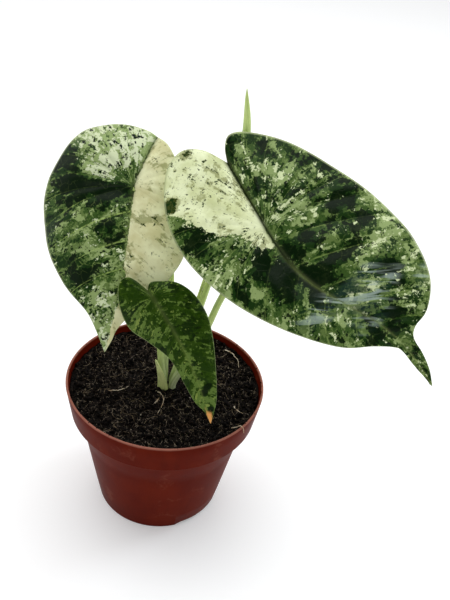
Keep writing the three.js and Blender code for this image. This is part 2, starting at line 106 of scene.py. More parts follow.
PLANT_CENTRE = Vector((1.5, 1)) * MM
FOOT_DIRECTIONS = {"right": -40, "young": 50, "left": 140, "front": 225}
FOOT_RADIUS = 2.3 * MM
FOOT_RING = 3.63 * MM
FOOT_RISE = 5 * MM
SPEAR_START = 0.48
YOUNG_RADIUS = 1.8 * MM
ROLLED_RADIUS = 2.6 * MM
BLADE_THICKNESS = 0.8 * MM
SINUS_GAP = 0.12 * MM
VEIN_LEAD = 0.45

# "at" is where stalk and blade meet, in millimetres from the origin and above the rim.
# "facing" turns the upper face: azimuth from the front, elevation, and the swing of the tip.
# A margin runs from the tip round the lobe to the notch, as shares of half width and length.
# "form" is each half's cross section: valley beside the midrib, slope, and droop at the edge.
# A patch is (x, y, half width, half length, strength), in the same shares as the margins.
# A swell is the same with a height in millimetres; the pair before the swells gives the start and end along y
# of a dark line painted as shade in the gap between the lobes and along the start of the midrib's crease.
LEFT_LEAF = {
    "at": (-26, 12, 121.5),
    "facing": (-14, 40, 4),
    "length": 90 * MM,
    "half_width": 50 * MM,
    "sway": (3 * MM, 0),
    "arch": (13 * MM, 7 * MM),
    "lobes": 32 * MM,
    "form": {"left": (0.05, 0.1, 0.34), "right": (0.08, -0.46, 0.02)},
    "notch": (0.1, -0.34),
    "left": [
        (-0.09, 0.91), (-0.26, 0.78), (-0.6, 0.64), (-0.91, 0.42), (-1.07, 0.17),
        (-1.04, -0.07), (-0.81, -0.31), (-0.42, -0.38), (-0.05, -0.37),
    ],
    "right": [
        (0.06, 0.93), (0.1, 0.85), (0.24, 0.74), (0.48, 0.57), (0.63, 0.38),
        (0.66, 0.2), (0.58, 0.02), (0.44, -0.15), (0.26, -0.29),
    ],
    "veins": 13,
    "crease_shade": (-0.4, 0.1),
    "swells": [(-0.45, -0.2, 0.35, 0.13, 3), (-0.35, 0.05, 0.4, 0.05, -1.6), (-0.45, 0.3, 0.4, 0.16, 1.5)],
    # The thin patches near y 0 along the crease under the domed upper lobe are painted shade beneath its
    # bulge; the others are the leaf's dark patches.
    "dark": [
        (-0.82, -0.08, 0.26, 0.13, 1.2), (-0.7, 0.04, 0.2, 0.05, 1.1), (-0.27, 0.04, 0.28, 0.055, 1.4),
        (-0.42, 0.13, 0.24, 0.05, 0.8), (-0.14, 0.3, 0.14, 0.07, 0.9), (-0.42, 0.57, 0.26, 0.06, 0.9),
        (-0.55, 0.47, 0.1, 0.08, 0.6), (-0.9, 0.36, 0.12, 0.14, 0.8), (-0.16, -0.06, 0.12, 0.03, 1.3),
        (-0.6, 0.28, 0.2, 0.05, 0.4), (-0.78, 0.16, 0.12, 0.06, 0.7), (0.07, -0.22, 0.04, 0.08, 0.5),
    ],
    "pale": [
        (-0.35, -0.2, 0.36, 0.15, 1.4), (-0.76, -0.3, 0.2, 0.07, 1), (-0.02, -0.32, 0.16, 0.06, 1.6),
        (-0.38, -0.04, 0.22, 0.035, 1.2), (-0.2, -0.12, 0.12, 0.16, 0.5), (-0.55, 0.33, 0.3, 0.1, 0.35),
        (-0.2, 0.42, 0.25, 0.06, 0.4), (-0.08, 0.78, 0.16, 0.14, 0.8), (-0.05, 0.95, 0.1, 0.08, 1.4),
        (-0.6, -0.12, 0.12, 0.04, 0.6),
    ],
    "painted_reflection": [],
    "fleck": [
        (0.13, 0.19, 0.16, 0.045, 1.2), (0.32, 0.17, 0.07, 0.03, 1), (0.12, 0.43, 0.12, 0.06, 1.2),
        (0.45, 0.3, 0.08, 0.05, 0.8), (0.52, 0.4, 0.07, 0.04, 0.8), (0.12, 0.55, 0.2, 0.06, 0.7),
        (0.15, -0.2, 0.2, 0.08, 0.6),
    ],
}
RIGHT_LEAF = {
    "at": (46.5, -14, 120),
    "facing": (-8, 43, 58),
    "length": 115 * MM,
    "half_width": 50 * MM,
    "sway": (0, -5 * MM),
    "arch": (10 * MM, 5 * MM),
    "lobes": 52 * MM,
    "form": {"left": (0.05, 0.08, 0.2), "right": (0.05, 0.08, 0.18)},
    "notch": (0.25, -0.35),
    "left": [
        (0.02, 0.89), (0.045, 0.8), (0.01, 0.765), (-0.13, 0.7), (-0.38, 0.59), (-0.65, 0.35),
        (-0.8, 0.08), (-0.79, -0.17), (-0.62, -0.37), (-0.3, -0.52), (-0.02, -0.55), (0.16, -0.48),
    ],
    "right": [
        (0.1, 0.94), (0.17, 0.87), (0.22, 0.8), (0.31, 0.77), (0.52, 0.755), (0.8, 0.66), (0.98, 0.48),
        (1.03, 0.28), (0.97, 0.04), (0.82, -0.21), (0.65, -0.36), (0.49, -0.43), (0.36, -0.41),
    ],
    "veins": 14,
    "crease_shade": (-0.4, 0.2),
    "swells": [(0.1, 0.44, 0.35, 0.035, 0.7), (0.2, 0.54, 0.4, 0.03, -0.7), (0.1, 0.62, 0.35, 0.035, 0.8),
               (-0.3, 0.42, 0.16, 0.1, 0.8), (0.3, -0.06, 0.4, 0.05, 1.2), (0.5, 0.12, 0.3, 0.06, -0.8)],
    "dark": [
        (-0.63, -0.2, 0.14, 0.1, 0.8), (-0.3, 0.13, 0.17, 0.06, 1.2), (0.13, 0.14, 0.17, 0.06, 1.3),
        (-0.22, 0.27, 0.28, 0.08, 1.1), (0.15, 0.33, 0.2, 0.05, 0.9), (0.78, 0.14, 0.17, 0.05, 1.3),
        (0.6, 0.06, 0.1, 0.035, 0.8), (0.78, 0.27, 0.14, 0.045, 0.9), (0.62, 0.5, 0.14, 0.045, 0.9),
        (0.25, 0.68, 0.14, 0.06, 1), (-0.05, 0.66, 0.12, 0.08, 0.9), (0.6, -0.28, 0.14, 0.07, 0.9),
        (0.75, -0.13, 0.07, 0.08, 0.9), (0.26, -0.14, 0.1, 0.06, 1), (0.42, -0.4, 0.1, 0.03, 0.7),
        (-0.68, 0.13, 0.07, 0.07, 0.9), (0.3, -0.3, 0.05, 0.1, 0.9), (0.55, 0.2, 0.16, 0.035, 0.9),
        (0.9, -0.05, 0.07, 0.07, 0.7), (-0.05, 0.4, 0.2, 0.05, 0.6), (0.48, 0.3, 0.1, 0.04, 0.5),
    ],
    "pale": [
        (0.4, -0.2, 0.16, 0.08, 0.6), (0.45, -0.11, 0.32, 0.02, 0.9), (0.7, -0.22, 0.08, 0.06, 0.7),
        (0.3, 0.1, 0.26, 0.03, 0.9), (0.8, 0.45, 0.15, 0.09, 0.6), (0.95, 0.28, 0.07, 0.08, 0.9),
        (0.5, 0.4, 0.18, 0.04, 0.6), (0.2, 0.02, 0.24, 0.04, 0.7), (-0.6, 0.03, 0.14, 0.05, 0.4),
        (0.55, -0.42, 0.1, 0.03, 0.7), (0.7, 0.66, 0.16, 0.04, 0.6), (-0.74, 0.05, 0.05, 0.2, 0.7),
        (0.1, 0.5, 0.3, 0.05, 0.5), (-0.35, 0.42, 0.1, 0.08, 0.4),
    ],
    # These patches mark where a reflection is painted: wavy silvery streaks, with darker bands between them,
    # standing for the lamps' reflection in the rippled lower blade.
    "painted_reflection": [(0.12, 0.46, 0.34, 0.035, 1), (0.25, 0.54, 0.3, 0.04, 1), (0.75, 0.64, 0.1, 0.03, 0.7),
               (-0.28, 0.42, 0.2, 0.04, 0.7), (0.1, 0.62, 0.2, 0.03, 0.5)],
    "fleck": [
        (-0.25, 0.02, 0.18, 0.06, 1), (0.1, -0.25, 0.12, 0.18, 0.9), (-0.35, -0.25, 0.3, 0.25, 0.5),
        (-0.1, -0.4, 0.2, 0.12, 0.5), (-0.5, -0.4, 0.08, 0.03, 5), (0.02, -0.52, 0.07, 0.02, 3),
    ],
}
FRONT_LEAF = {
    "at": (-8, -28, 78.7),
    "facing": (6, 34, 28),
    "length": 75.3 * MM,
    "half_width": 21.2 * MM,
    "sway": (3.4 * MM, 0),
    "arch": (7.7 * MM, 2 * MM),
    "lobes": 11.6 * MM,
    "form": {"left": (0.08, -0.15, 0.15), "right": (0.08, -0.2, 0.2)},
    "notch": (-0.04, -0.06),
    "left": [
        (-0.02, 0.9), (-0.14, 0.8), (-0.18, 0.65), (-0.25, 0.45), (-0.55, 0.28),
        (-0.85, 0.13), (-0.83, -0.05), (-0.6, -0.19), (-0.3, -0.19),
    ],
    "right": [
        (0.2, 0.93), (0.4, 0.85), (0.66, 0.68), (0.95, 0.45), (1.07, 0.27),
        (0.98, 0.1), (0.72, -0.02), (0.35, -0.08), (0.1, -0.1),
    ],
    "veins": 17,
    "crease_shade": (-0.1, 0.3),
    "swells": [(-0.4, 0.05, 0.4, 0.15, 1), (0.5, 0.1, 0.4, 0.15, 1)],
    "dark": [
        (0.17, 0.77, 0.08, 0.018, 4), (0.32, 0.74, 0.09, 0.02, 4), (0.16, 0.9, 0.06, 0.016, 4),
        (0.8, 0.2, 0.4, 0.25, 0.4), (-0.45, -0.1, 0.3, 0.08, 0.3),
    ],
    "pale": [
        (-0.35, 0.1, 0.35, 0.08, 0.5), (-0.65, 0.17, 0.16, 0.05, 0.9), (-0.28, 0.27, 0.14, 0.06, 0.6),
        (0.3, 0.1, 0.25, 0.08, 0.25), (0.1, 0.6, 0.3, 0.2, 0.35), (0.15, 0.84, 0.4, 0.1, 0.9),
        (0.6, 0.55, 0.14, 0.05, 0.4),
    ],
    "painted_reflection": [],
    "fleck": [],
}

STALK_VIA = {
    "left": [(-2.4, 8, 22), (-2.5, 14, 65), (-7, 17, 92), (-17, 16.5, 112)],
    "right": [(12.5, 0, 17), (21.5, 0, 42), (27, -1, 62), (37, -5, 92)],
    "front": [(-3, -4.5, 15), (-5, -9, 38), (-7, -18, 62)],
    "young": [(10.5, 7.5, 25), (18.6, 13, 60), (25, 19, 95), (31, 28, 150), (28.4, 31, 176)],
}

SURFACE_ROOTS = {
    "root_strand_fork": [(-5, -7), (0, -11.5), (0.5, -18), (-1.5, -26)],
    "root_strand_branch": [(-2, -14), (-4, -18), (-7, -21)],
    "root_strand_right": [(43, -10), (46, -15), (49.5, -18)],
    "root_strand_back": [(34, 41), (39, 38), (43, 32), (44, 26)],
    "root_strand_left": [(-33, -10), (-27, -9), (-22, -5)],
}
STRAND_RADIUS = 0.45 * MM
STRAND_WANDER = 0.9 * MM
STRAND_LIFT = 0.7 * MM
STRAND_STEPS = 40
STRAND_SIDES = 8
RIM_ROOT_DIRECTION = -36
RIM_ROOT = [(-7, -4.6), (-3.6, -1.6), (-1.4, 1), (0.6, 0.9), (1.8, -2.5)]  # out from the rim, up from it

# ---------- colours, as display values ----------


def shade(red, green, blue):
    """A display colour from 0 to 255 as the linear colour that a shader takes."""
    def linear(part):
        part /= 255
        return part / 12.92 if part < 0.04045 else ((part + 0.055) / 1.055) ** 2.4
    return (linear(red), linear(green), linear(blue), 1)


# ---------- finished meshes ----------


def finished(name, bm, finish, stands_for=()):
    """Turns a bmesh into a piece of the plant that rides on the frame."""
    for face in bm.faces:
        face.smooth = True
    mesh = bpy.data.meshes.new(name)
    bm.to_mesh(mesh)
    bm.free()
    return placed(bpy.data.objects.new(name, mesh), finish, stands_for)


def placed(piece, finish, stands_for=()):
    """Gives a piece its finish and body, and hides the nodes that it stands for."""
    bpy.context.scene.collection.objects.link(piece)
    piece.data.materials.clear()
    piece.data.materials.append(finish)
    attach(piece, "root")
    if stands_for:
        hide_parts(*stands_for)
    return piece


def curve_through(points, count, power=0.5, clamped=False):
    """Evenly spaced points on a smooth curve through given ones."""
    before = points[0] if clamped else 2 * points[0] - points[1]
    after = points[-1] if clamped else 2 * points[-1] - points[-2]
    knots = [before, *points, after]
    dense = []
    for a, b, c, d in zip(knots, knots[1:], knots[2:], knots[3:]):
        s, t, u = ((q - p).length ** power for p, q in ((a, b), (b, c), (c, d)))
        leave = ((b - a) / s - (c - a) / (s + t) + (c - b) / t) * t
        arrive = ((c - b) / t - (d - b) / (t + u) + (d - c) / u) * t
        for i in range(40):
            k = i / 40
            dense.append(b * (2 * k**3 - 3 * k**2 + 1) + c * (3 * k**2 - 2 * k**3)
                         + leave * (k**3 - 2 * k**2 + k) + arrive * (k**3 - k**2))
    dense.append(points[-1])
    return evenly(dense, count)


def evenly(points, count):
    """Points at even steps along a line of others."""
    steps = [(b - a).length for a, b in zip(points, points[1:])]
    total = sum(steps)
    result = []
    index = 0
    walked = 0.0
    for i in range(count + 1):
        goal = total * i / count
        while index < len(steps) - 1 and walked + steps[index] < goal:
            walked += steps[index]
            index += 1
        share = (goal - walked) / max(steps[index], 1e-12)
        result.append(points[index].lerp(points[index + 1], min(share, 1)))
    return result


def swept(points, outline, size_at, across=(1, 0, 0), twist=0):
    """Sweeps a closed outline along points. Its vertices know how far along and round they are."""
    bm = bmesh.new()
    along = bm.verts.layers.float.new("along")
    around = bm.verts.layers.float.new("around")
    number = bm.verts.layers.int.new("number")
    ring = [bm.verts.new((0, 0, i * MM)) for i in range(len(outline))]
    for i, vert in enumerate(ring):
        vert[number] = i
        vert[around] = i / len(outline)
    edges = [bm.edges.new(pair) for pair in zip(ring, ring[1:] + ring[:1])]
    ends = [edges]
    last = len(points) - 1
    for i, centre in enumerate(points):
        if i:
            made = bmesh.ops.extrude_edge_only(bm, edges=edges)["geom"]
            edges = [item for item in made if isinstance(item, bmesh.types.BMEdge)]
            ring = [item for item in made if isinstance(item, bmesh.types.BMVert)]
        tangent = (points[min(i + 1, last)] - points[max(i - 1, 0)]).normalized()
        depth = Vector(across).cross(tangent).normalized()
        width = tangent.cross(depth)
        share = i / last
        turn = Matrix.Rotation(twist * share, 2)
        for vert in ring:
            u, v = turn @ Vector(outline[vert[number]]) * size_at(share)
            vert.co = centre + width * u + depth * v
            vert[along] = share
    ends.append(edges)
    for loop in ends:
        bmesh.ops.holes_fill(bm, edges=loop, sides=0)
    bmesh.ops.recalc_face_normals(bm, faces=bm.faces)
    return bm


def circle(count, ribs=0, rib_depth=0.0):
    """A round outline of radius 1, with ribs if they are asked for."""
    turns = [2 * math.pi * i / count for i in range(count)]
    return [Vector((math.cos(t), math.sin(t))) * (1 + rib_depth * math.cos(ribs * t)) for t in turns]


# ---------- shader helpers ----------


def add(tree, kind, settings=None, **inputs):
    """Adds a node. A value in inputs is a plain value or another node's output."""
    made = tree.nodes.new("ShaderNode" + kind)
    for key, value in (settings or {}).items():
        setattr(made, key, value)
    for key, value in inputs.items():
        join(tree, value, made.inputs[key.replace("_", " ")])
    return made


def join(tree, value, socket):
    if isinstance(value, bpy.types.NodeSocket):
        tree.links.new(value, socket)
    else:
        socket.default_value = value


def calc(tree, operation, *values):
    """The output of a Math node."""
    made = tree.nodes.new("ShaderNodeMath")
    made.operation = operation
    for i, value in enumerate(values):
        join(tree, value, made.inputs[i])
    return made.outputs[0]


def blend(tree, mask, first, second):
    """The first colour where the mask is 0, the second where it is 1."""
    made = tree.nodes.new("ShaderNodeMix")
    made.data_type = "RGBA"
    join(tree, mask, made.inputs["Factor"])
    join(tree, first, made.inputs[6])
    join(tree, second, made.inputs[7])
    return made.outputs[2]


def ramp(tree, value, low, high, to_low=0.0, to_high=1.0):
    """A smooth step from one value to another between low and high."""
    made = add(tree, "MapRange", {"interpolation_type": "SMOOTHSTEP"}, Value=value)
    for name, number in (("From Min", low), ("From Max", high), ("To Min", to_low), ("To Max", to_high)):
        join(tree, number, made.inputs[name])
    return made.outputs["Result"]


def field(tree, vector, scale, detail=3.0, rough=0.6, twist=0.0):
    made = add(tree, "TexNoise", Vector=vector, Scale=scale, Detail=detail, Roughness=rough,
               Distortion=twist)
    return made.outputs["Fac"]


def attribute(tree, name):
    """A number that each vertex of the piece carries."""
    return add(tree, "Attribute", {"attribute_name": name}).outputs["Fac"]


def stretched(tree, vector, scale, turn=(0, 0, 0)):
    return add(tree, "Mapping", Vector=vector, Scale=scale, Rotation=turn).outputs[0]


def new_group(name, takes, gives):
    """A shader node group with named inputs, given as (name, kind, value), and outputs."""
    group = bpy.data.node_groups.new(name, "ShaderNodeTree")
    for title, kind, value in takes:
        socket = group.interface.new_socket(title, in_out="INPUT", socket_type="NodeSocket" + kind)
        if value is not None:
            socket.default_value = value
    for title, kind in gives:
        group.interface.new_socket(title, in_out="OUTPUT", socket_type="NodeSocket" + kind)
    return group, group.nodes.new("NodeGroupInput").outputs, group.nodes.new("NodeGroupOutput").inputs


def use(tree, group, **inputs):
    """Places a node group and gives its outputs."""
    made = tree.nodes.new("ShaderNodeGroup")
    made.node_tree = group
    for key, value in inputs.items():
        join(tree, value, made.inputs[key.replace("_", " ")])
    return made.outputs


def new_finish(name, rough, specular):
    """A material with a Principled shader. Returns the material, its tree and the shader's inputs."""
    finish = bpy.data.materials.new(name)
    finish.use_nodes = True
    tree = finish.node_tree
    shader = next(node for node in tree.nodes if node.type == "BSDF_PRINCIPLED")
    shader.inputs["Roughness"].default_value = rough
    shader.inputs["Specular IOR Level"].default_value = specular
    return finish, tree, shader.inputs


def bumped(tree, shader, height, distance, strength):
    made = add(tree, "Bump", Height=height, Distance=distance, Strength=strength)
    tree.links.new(made.outputs["Normal"], shader["Normal"])


def place_on(tree):
    return add(tree, "TexCoord").outputs["Object"]


# ---------- shader groups ----------


def build_patches():
    """Crisp ragged patches: where noise plus a painted lead passes the threshold."""
    group, take, give = new_group("ragged_patches", [
        ("Plane", "Vector", None), ("Streak", "Vector", None), ("Scale", "Float", 10), ("Grain", "Float", 40),
        ("Lead", "Float", 0), ("Threshold", "Float", 0.5), ("Softness", "Float", 0.02)], [("Mask", "Float")])
    coarse = field(group, take["Plane"], take["Scale"], 3, 0.5, 0.6)
    along = field(group, take["Streak"], take["Scale"], 4, 0.55, 0.3)
    fine = field(group, take["Plane"], take["Grain"], 3, 0.6)
    mixed = calc(group, "MULTIPLY_ADD", fine, 0.24, calc(group, "MULTIPLY", coarse, 0.4))
    mixed = calc(group, "MULTIPLY_ADD", along, 0.36, mixed)
    led = calc(group, "ADD", mixed, take["Lead"])
    low = calc(group, "SUBTRACT", take["Threshold"], take["Softness"])
    high = calc(group, "ADD", take["Threshold"], take["Softness"])
    join(group, ramp(group, led, low, high), give["Mask"])
    return group


def build_veins():
    """Side veins that run from midrib to margin, and the fine net between them."""
    group, take, give = new_group("leaf_veins", [
        ("Vector", "Vector", None), ("Way", "Float", 0), ("Reach", "Float", 0),
        ("Count", "Float", 13), ("Width", "Float", 0.06), ("Net", "Float", 30)],
        [("Veins", "Float"), ("Net", "Float")])
    turn = calc(group, "MULTIPLY", take["Way"], take["Count"])
    between = calc(group, "FRACT", calc(group, "ADD", turn, 0.5))
    off = calc(group, "ABSOLUTE", calc(group, "SUBTRACT", between, 0.5))
    thin = calc(group, "MULTIPLY", take["Width"], ramp(group, take["Reach"], 0, 1, 1.3, 0.5))
    join(group, ramp(group, off, thin, 0), give["Veins"])
    wavy = field(group, take["Vector"], 18, 2, 0.5)
    moved = add(group, "VectorMath", {"operation": "MULTIPLY_ADD"})
    join(group, wavy, moved.inputs[0])
    moved.inputs[1].default_value = (0.05, 0.05, 0)
    join(group, take["Vector"], moved.inputs[2])
    cells = add(group, "TexVoronoi", {"feature": "DISTANCE_TO_EDGE", "voronoi_dimensions": "2D"},
                Vector=moved.outputs[0], Scale=take["Net"])
    faded = ramp(group, field(group, take["Vector"], 14, 2), 0.42, 0.6)
    mesh = ramp(group, cells.outputs["Distance"], 0.07, 0.0)
    join(group, calc(group, "MULTIPLY", mesh, faded), give["Net"])
    return group


PATCHES = build_patches()
VEINS = build_veins()

# ---------- leaf finish ----------

# For each kind of patch: its scale, the grain of its border, and the pull of the painted areas.
PATCH_KINDS = {
    "olive": (17, 60, 0), "light": (16, 70, 0.055), "deep": (14, 64, 0.05), "dark": (12, 50, 0.085),
    "bright": (21, 90, 0.055), "speck": (30, 110, 0.022), "cream": (14, 70, 0.4), "stain": (18, 60, 0.07),
    "fleck": (38, 150, 0.045),
}
CRISP = 0.012
SOFT = 0.02
BLURRED = 0.04
LEAF_SHINE = 0.09
UNDERSIDE_VEIL = 0.55
LEAF_BUMP = 0.25 * MM
LEAF_BUMP_STRENGTH = 0.6
# Turn and stretch of the painted reflection's wavy streaks.
SHEEN_TURN = -0.8
SHEEN_STRETCH = (4, 24, 1)


def leaf_finish(name, leaf, look):
    """Patches of several greens, then veins, a painted reflection, the cream part with its flecks, a dark
    line of painted shade along the crease, and the pale margin.
    """
    finish, tree, shader = new_finish(name, look["rough"], LEAF_SHINE)
    plane = add(tree, "UVMap", {"uv_map": "plane"}).outputs[0]
    streak = add(tree, "UVMap", {"uv_map": "streak"}).outputs[0]
    parts = {key: attribute(tree, key) for key in LAYERS}

    def times(value, factor):
        return calc(tree, "MULTIPLY", value, factor)

    def patches(kind, lead=0.0, softness=CRISP):
        scale, grain, _ = PATCH_KINDS[kind]
        return use(tree, PATCHES, Plane=plane, Streak=streak, Scale=scale, Grain=grain, Lead=lead,
                   Threshold=look[kind + "_from"], Softness=softness)["Mask"]

    def led(kind, more, less):
        pull = PATCH_KINDS[kind][2]
        return patches(kind, calc(tree, "MULTIPLY_ADD", parts[more], pull, times(parts[less], -pull)))

    tone = field(tree, plane, 7, 3, 0.6)
    grain = field(tree, plane, 60, 3, 0.6)
    veins = use(tree, VEINS, Vector=plane, Way=parts["way"], Reach=parts["reach"], Count=leaf["veins"],
                Width=look["vein_width"], Net=look["net"])
    colour = blend(tree, patches("olive", softness=SOFT), look["green"], look["olive"])
    colour = blend(tree, led("light", "pale", "dark"), colour, look["light"])
    colour = blend(tree, led("deep", "dark", "pale"), colour, look["deep"])
    colour = blend(tree, times(led("dark", "dark", "pale"), 0.95), colour, look["dark"])
    colour = blend(tree, led("bright", "pale", "dark"), colour, look["bright"])
    line = calc(tree, "MAXIMUM", times(veins["Net"], look["net_strength"]),
                  times(veins["Veins"], look["vein_strength"]))
    line = times(line, ramp(tree, parts["dark"], 1.1, 0.2, 0.15))
    line = times(line, ramp(tree, parts["pale"], 1.2, 0.3, 0.1))
    colour = blend(tree, times(line, ramp(tree, grain, 0.4, 0.56, 0.2)), colour, look["vein"])
    colour = blend(tree, led("speck", "pale", "dark"), colour, look["dark"])

    cream_pull = PATCH_KINDS["cream"][2]
    sector = patches("cream", calc(tree, "MULTIPLY_ADD", parts["cream"], cream_pull, -cream_pull / 2))
    cream = blend(tree, ramp(tree, tone, 0.3, 0.7), look["cream"], look["ivory"])
    cream = blend(tree, times(veins["Veins"], 0.25), cream, look["ivory"])
    stain = patches("stain", times(parts["fleck"], PATCH_KINDS["stain"][2]), BLURRED)
    cream = blend(tree, times(stain, 0.7), cream, look["stain"])
    fleck = patches("fleck", times(parts["fleck"], PATCH_KINDS["fleck"][2]), SOFT)
    cream = blend(tree, fleck, cream, blend(tree, ramp(tree, grain, 0.45, 0.55), look["fleck"], look["deep"]))

    # Painted reflection: silvery streaks and the darker bands between them, on the patches that mark it.
    sheen = stretched(tree, stretched(tree, plane, (1, 1, 1), (0, 0, SHEEN_TURN)), SHEEN_STRETCH)
    sheen = field(tree, sheen, 1, 2, 0.5, 0.5)
    shadow = times(ramp(tree, sheen, 0.5, 0.42), parts["painted_reflection"])
    colour = blend(tree, times(shadow, 0.7), colour, look["painted_reflection_dark"])
    painted_reflection = times(ramp(tree, sheen, 0.5, 0.6), parts["painted_reflection"])
    colour = blend(tree, times(painted_reflection, 0.75), colour, look["painted_reflection"])
    colour = blend(tree, sector, colour, cream)
    colour = blend(tree, times(parts["rib"], look["rib_strength"]), colour, look["rib"])
    # Painted shade: a dark line in the gap between the lobes and along the start of the midrib's crease.
    colour = blend(tree, times(parts["crease_shade"], look["crease_shade_strength"]), colour, look["crease_shade"])
    if "dead_tip" in look:
        border = calc(tree, "MULTIPLY_ADD", field(tree, plane, 30), 0.06, parts["way"])
        colour = blend(tree, ramp(tree, border, 0.115, 0.085), colour, look["dead_tip"])
    edge = ramp(tree, parts["reach"], 0.975, 0.995)
    colour = blend(tree, times(edge, look["edge_strength"]), colour, look["edge"])
    colour = blend(tree, times(parts["under"], UNDERSIDE_VEIL), colour, look["under"])

    join(tree, colour, shader["Base Color"])
    shine = calc(tree, "MULTIPLY_ADD", field(tree, plane, 25, 3), 0.12, look["rough"] - 0.06)
    join(tree, calc(tree, "MULTIPLY_ADD", parts["under"], 0.22, shine), shader["Roughness"])
    pores = field(tree, plane, 220, 2)
    quilt = field(tree, plane, 34, 2)
    height = calc(tree, "MULTIPLY_ADD", pores, 0.16, quilt)
    height = calc(tree, "MULTIPLY_ADD", veins["Net"], -0.35, height)
    bumped(tree, shader, height, LEAF_BUMP, LEAF_BUMP_STRENGTH)
    return finish


# ---------- blades ----------


def blade_axes(leaf):
    """The blade's place in the world: origin, right, towards the tip, and out of the upper face."""
    azimuth, elevation, swing = (math.radians(angle) for angle in leaf["facing"])
    out = Vector((math.sin(azimuth) * math.cos(elevation), -math.cos(azimuth) * math.cos(elevation),
                  math.sin(elevation)))
    level = Vector((math.cos(azimuth), math.sin(azimuth), 0))
    up = out.cross(level)
    tipward = level * math.sin(swing) - up * math.cos(swing)
    right = level * math.cos(swing) + up * math.sin(swing)
    x, y, height = leaf["at"]
    return Vector((x * MM, y * MM, RIM_Z + height * MM)), right, tipward, out


def axis_at(leaf, y):
    """The midrib's sideways place; behind the stalk, the line to the notch."""
    if y < 0:
        return leaf["notch"][0] * leaf["half_width"] * y / (leaf["notch"][1] * leaf["length"])
    share = min(y / leaf["length"], 1)
    first, second = leaf["sway"]
    return first * math.sin(math.pi * share) + second * math.sin(2 * math.pi * share)


def relief_at(leaf, x, y):
    """How far the blade stands out of its flat plane."""
    if y > 0:
        bend = leaf["arch"][0] * (y / leaf["length"]) ** 2
    else:
        bend = leaf["arch"][1] * (y / leaf["lobes"]) ** 2
    side = x - axis_at(leaf, y)
    valley, slope, droop = leaf["form"]["left" if side < 0 else "right"]
    u = abs(side) / leaf["half_width"]
    section = valley * (1 - math.exp(-u / 0.18)) + slope * u - droop * u * u
    return leaf["half_width"] * section - bend


LAYERS = ("dark", "pale", "painted_reflection", "cream", "fleck", "under", "way", "reach", "rib", "crease_shade")
PAINTED = ("dark", "pale", "painted_reflection", "fleck")
MARGIN_SAMPLES = 600
MIDRIB_ROWS = 96
LOBE_ROWS = 60
COLUMNS = 42
COLUMN_CROWDING = 1.3
TIP_ROWS = 8  # rows from the tip over which the relief grows in
FULL_RELIEF_WIDTH = 50 * MM  # half width of a blade with the whole relief; a smaller one has less
MAP_SIZE = 0.1  # metres of blade to one unit of the flat map
STREAK_FAN = 2.5
STREAK_LENGTH = 0.4
LEFT_STREAKS = 4  # moves the left half's streaks, so that the halves differ
VEIN_SWEEP = 0.035
RIPPLE_RATE = 34
RIPPLE_SHIFT = 1.3  # on the left half, so that the two margins differ
DENT_RATE = 90

# Heights and depths of the upper face
RIPPLE = 0.6 * MM
PLEAT = 0.3 * MM
DENT = 0.6 * MM
VEIN_GROOVE = 0.35 * MM
MIDRIB_GROOVE = 0.5 * MM
MIDRIB_WIDTH = 1.0 * MM
# Width of the dark line painted as shade along the crease.
CREASE_SHADE_WIDTH = 1.3 * MM

# Ribs that stand out below
MIDRIB_KEEL = 1.3 * MM
VEIN_KEEL = 0.45 * MM


def margin_rays(leaf, side):
    """For each row, the place on the margin, its share of the way round, and the vein's foot."""
    gap = (-0.5 if side == "left" else 0.5) * SINUS_GAP
    size = Vector((leaf["half_width"], leaf["length"]))
    notch = Vector(leaf["notch"]) * size + Vector((gap, 0))
    knots = [Vector((0, leaf["length"])), *(Vector(point) * size for point in leaf[side]), notch]
    margin = curve_through(knots, MARGIN_SAMPLES, power=0, clamped=True)
    feet = []
    lowest = leaf["length"]
    for edge in margin:
        foot = edge.y - VEIN_LEAD * abs(edge.x - axis_at(leaf, edge.y))
        lowest = max(0, min(lowest, foot))
        feet.append(lowest)
    turn = feet.index(0)
    rays = []
    index = 0
    for row in range(MIDRIB_ROWS + LOBE_ROWS + 1):
        if row <= MIDRIB_ROWS:
            foot = leaf["length"] * (1 - row / MIDRIB_ROWS)
            while index < turn and feet[index + 1] > foot:
                index += 1
            drop = feet[index] - feet[index + 1]
            place = index + (min(1, (feet[index] - foot) / drop) if drop > 1e-9 else 0)
        else:
            foot = 0
            place = turn + (MARGIN_SAMPLES - turn) * (row - MIDRIB_ROWS) / LOBE_ROWS
        low = min(int(place), MARGIN_SAMPLES - 1)
        edge = margin[low].lerp(margin[low + 1], place - low)
        rays.append((edge, place / MARGIN_SAMPLES, Vector((axis_at(leaf, foot), foot))))
    return rays


def bell(distance, width):
    """1 at no distance, falling to 0."""
    return math.exp(-(distance / width) ** 2)


def painted(leaf, key, u, v):
    """The strength of the leaf's patches of one kind at a place."""
    total = 0
    for a, b, width, height, strength in leaf[key]:
        off = ((u - a) / width) ** 2 + ((v - b) / height) ** 2
        total += strength * math.exp(-off * off / 2)
    return total


def vein_depth(leaf, way, reach):
    """How strongly a side vein shows at a place, from 0 to 1."""
    turn = way * leaf["veins"]
    off = abs((turn + 0.5) % 1 - 0.5) / leaf["veins"]
    width = 0.011 * (1.25 - 0.7 * reach)
    return bell(off, width) * min(1, reach * 12) * (1 - reach**6)


